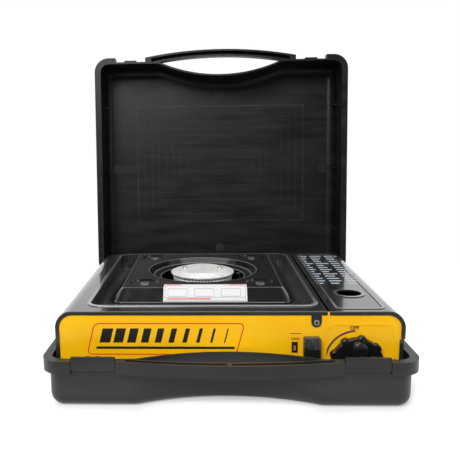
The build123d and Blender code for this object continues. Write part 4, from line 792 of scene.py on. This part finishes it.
# %% Bars on the panel and rules on the cover
bars = bar_tree()
lean = outline_lean / (outline_top - outline_foot)
bars_left, bars_foot, bars_height = -0.1265, 0.058, 0.0145
grow(
    "panel_bars", bars, "stove", "yellow_paint",
    count=10, start=(bars_left - bars_foot * lean, panel_front - FILM, bars_foot), pitch=(0.0136, 0, 0),
    size=(0.0105, FILM, bars_height), last_share=0.12, loose=0.0, lean=lean, ink=black_ink,
)
sight_rim = 0.0008
cover_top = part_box("cartridge_cover")[1][2] - sight_rim
rules_back, rule_pitch, rule_width = 0.119, 0.0112, 0.0042
columns = ((0.104, 0.014), (0.12, 0.018), (0.14, 0.019))
for column, (start, length) in enumerate(columns, 1):
    grow(
        f"cover_rules_{column}", bars, "cartridge_cover", "black_paint",
        count=14, start=(start, rules_back, cover_top), pitch=(0.0, -rule_pitch, 0.0),
        size=(length, rule_width, FILM), last_share=0.9, loose=0.5, lean=0.0, ink=cover_ink,
    )

# %% [markdown]
# ### Label on the pan support
# A white label with a thin printed frame is stuck on the sloping front wall of the pan
# support and folded over its top edge. Its place is found from the wall's own foot and
# top edge, so it lies flat on both faces, and its strips have a row of points in the fold.
# A Shrinkwrap modifier could lay it on too, but it would round off the fold.

# %% Places on the label
flange, wall_lift, wall_run, glue = 0.003, 0.001, 0.0105, 0.00002
low, high = (Vector(corner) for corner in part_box("pan_support"))
wall_foot = Vector((0, low.y + flange, low.z + wall_lift))
wall_top = Vector((0, wall_foot.y + wall_run, high.z))
rise = (wall_top - wall_foot).normalized()
wall_out = Vector((0, -rise.z, rise.y))
fold = (wall_top - wall_foot).length * 1000
print("label folds", round(fold, 1), "mm up the wall")


def on_wall(u, v, depth):
    """Point on the wall and, past the fold, on the flat top, in millimetres along each."""
    depth += glue
    across = Vector((u / 1000, 0, 0))
    if v < fold:
        return wall_foot + across + rise * (v / 1000) + wall_out * depth
    if v > fold:
        return wall_top + across + Vector((0, (v - fold) / 1000, depth))
    return wall_top + across + (wall_out + Vector((0, 0, 1))).normalized() * depth


def on_label(u, v, depth):
    """Point on the label's own film."""
    return on_wall(u, v, depth + FILM)


def upright(u, width, foot, top):
    """Strip up the label, with a point in the fold."""
    rows = [foot] + ([fold] if foot < fold < top else []) + [top]
    return [(u, v) for v in rows], [(u + width, v) for v in rows], False


# %% Label
label_left, label_right, label_foot, label_top = -68.0, 23.0, 0.5, fold + 12.0
inset, frame_line, frame_bar = 1.6, 0.4, 5.2
box_start, box_pitch, box_width, box_foot, box_top = 5, 29, 21, 6.6, 15.6
box_corner, box_line = 1.5, 0.35
rule_length, rule_inset, rule_foot, rule_top = 16, 3, label_top - 5, label_top - 2.6
label = upright(label_left, label_right - label_left, label_foot, label_top)
film("support_label", [label], label_film, on_wall, "pan_support")
frames = [
    upright(u, frame_line, inset, label_top - inset + frame_line)
    for u in (label_left + inset, label_right - inset - frame_line)
]
frames += [
    bar(label_left + inset, v, label_right - inset, v + frame_line)
    for v in (inset, frame_bar, label_top - inset)
]
for u in (label_left + box_start + box_pitch * i for i in range(3)):
    frames.append(ribbon(rounded(u, box_foot, u + box_width, box_top, box_corner), box_line, True))
film("label_frames", frames, pale_ink, on_label, "pan_support")
rules = [
    bar(u, rule_foot, u + rule_length, rule_top)
    for u in (label_left + rule_inset, label_right - rule_inset - rule_length)
]
foot_rule = bar(label_left + 4, 3, label_left + 52, 4.2)
film("label_rules", rules + [foot_rule], red_ink, on_label, "pan_support")

# %% [markdown]
# ## Return spring
# A coil spring pushes the lock lever up. Geometry Nodes sweep a round wire along a spiral
# whose radius, height and turns are inputs, which is easier to change than a Screw
# modifier. The coil is built at one fixed length.


# %% Coil spring
def coil_tree():
    """Round wire swept along an upright spiral."""
    tree, given = start_tree(
        "coil", Turns="Float", Radius="Float", Height="Float", Wire="Float", Foot="Vector", Steel="Material"
    )
    spiral = wire(
        tree, "GeometryNodeCurveSpiral", Resolution=28, Rotations=given["Turns"],
        Start_Radius=given["Radius"], End_Radius=given["Radius"], Height=given["Height"],
    )
    ring = wire(tree, "GeometryNodeCurvePrimitiveCircle", Resolution=10, Radius=given["Wire"])
    tube = wire(
        tree, "GeometryNodeCurveToMesh", Curve=spiral.outputs["Curve"],
        Profile_Curve=ring.outputs["Curve"], Fill_Caps=True,
    )
    standing = wire(tree, "GeometryNodeTransform", Geometry=tube.outputs["Mesh"], Translation=given["Foot"])
    return end_tree(tree, standing.outputs["Geometry"], given["Steel"])


low, high = (Vector(corner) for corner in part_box("lever_spring"))
wire_radius = 0.0004
spring = grow(
    "return_spring", coil_tree(), "stove", "plain_steel",
    turns=10.5, radius=(high.x - low.x) / 2 - wire_radius, height=high.z - low.z - 2 * wire_radius,
    wire=wire_radius, foot=((low.x + high.x) / 2, (low.y + high.y) / 2, low.z + wire_radius),
    steel=steel_mat,
)
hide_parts("lever_spring")
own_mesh(spring)

# %% [markdown]
# ## Ignition lead
# A thin insulated lead runs from the igniter over the cartridge bay to the electrode. It
# is one smooth NURBS curve with a round bevel, held at both ends inside the stove. A swept
# mesh would look the same, but a curve keeps its route as a few points, in millimetres.

# %% Ignition lead
lead_mat, tree, shader = start_finish("lead_rubber", (0.28, 0.02, 0.02), 0.55)
colour = tint(tree, grain(tree, 800), (0.3, (0.2, 0.014, 0.014)), (0.7, (0.32, 0.026, 0.024)))
plug(tree, shader, Base_Color=colour)
route = [
    (148, -104, 56), (148, -104, 72), (116, -104, 72), (74, -104, 72), (60, -104, 72),
    (60, -104, 58), (60, -90, 58), (60, 19.5, 58), (60, 33.5, 58), (60, 33.5, 44),
    (46, 33.5, 44), (32, 33.5, 44), (20, 33.5, 44), (20, 33.5, 50),
]
lead_diameter = 0.0022
lead_curve = bpy.data.curves.new("ignition_cord", "CURVE")
lead_curve.dimensions = "3D"
lead_curve.bevel_depth = lead_diameter / 2
lead_curve.bevel_resolution = 4
lead_curve.use_fill_caps = True
line = lead_curve.splines.new("NURBS")
line.points.add(len(route) - 1)
for point, (x, y, z) in zip(line.points, route):
    point.co = (x / 1000, y / 1000, z / 1000, 1)
line.order_u = 3
line.use_endpoint_u = True
line.resolution_u = 10
lead_curve.materials.append(lead_mat)
lead = bpy.data.objects.new("ignition_cord", lead_curve)
scene.collection.objects.link(lead)
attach(lead, "stove")
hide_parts("ignition_lead")
print("lead with", len(route), "route points")
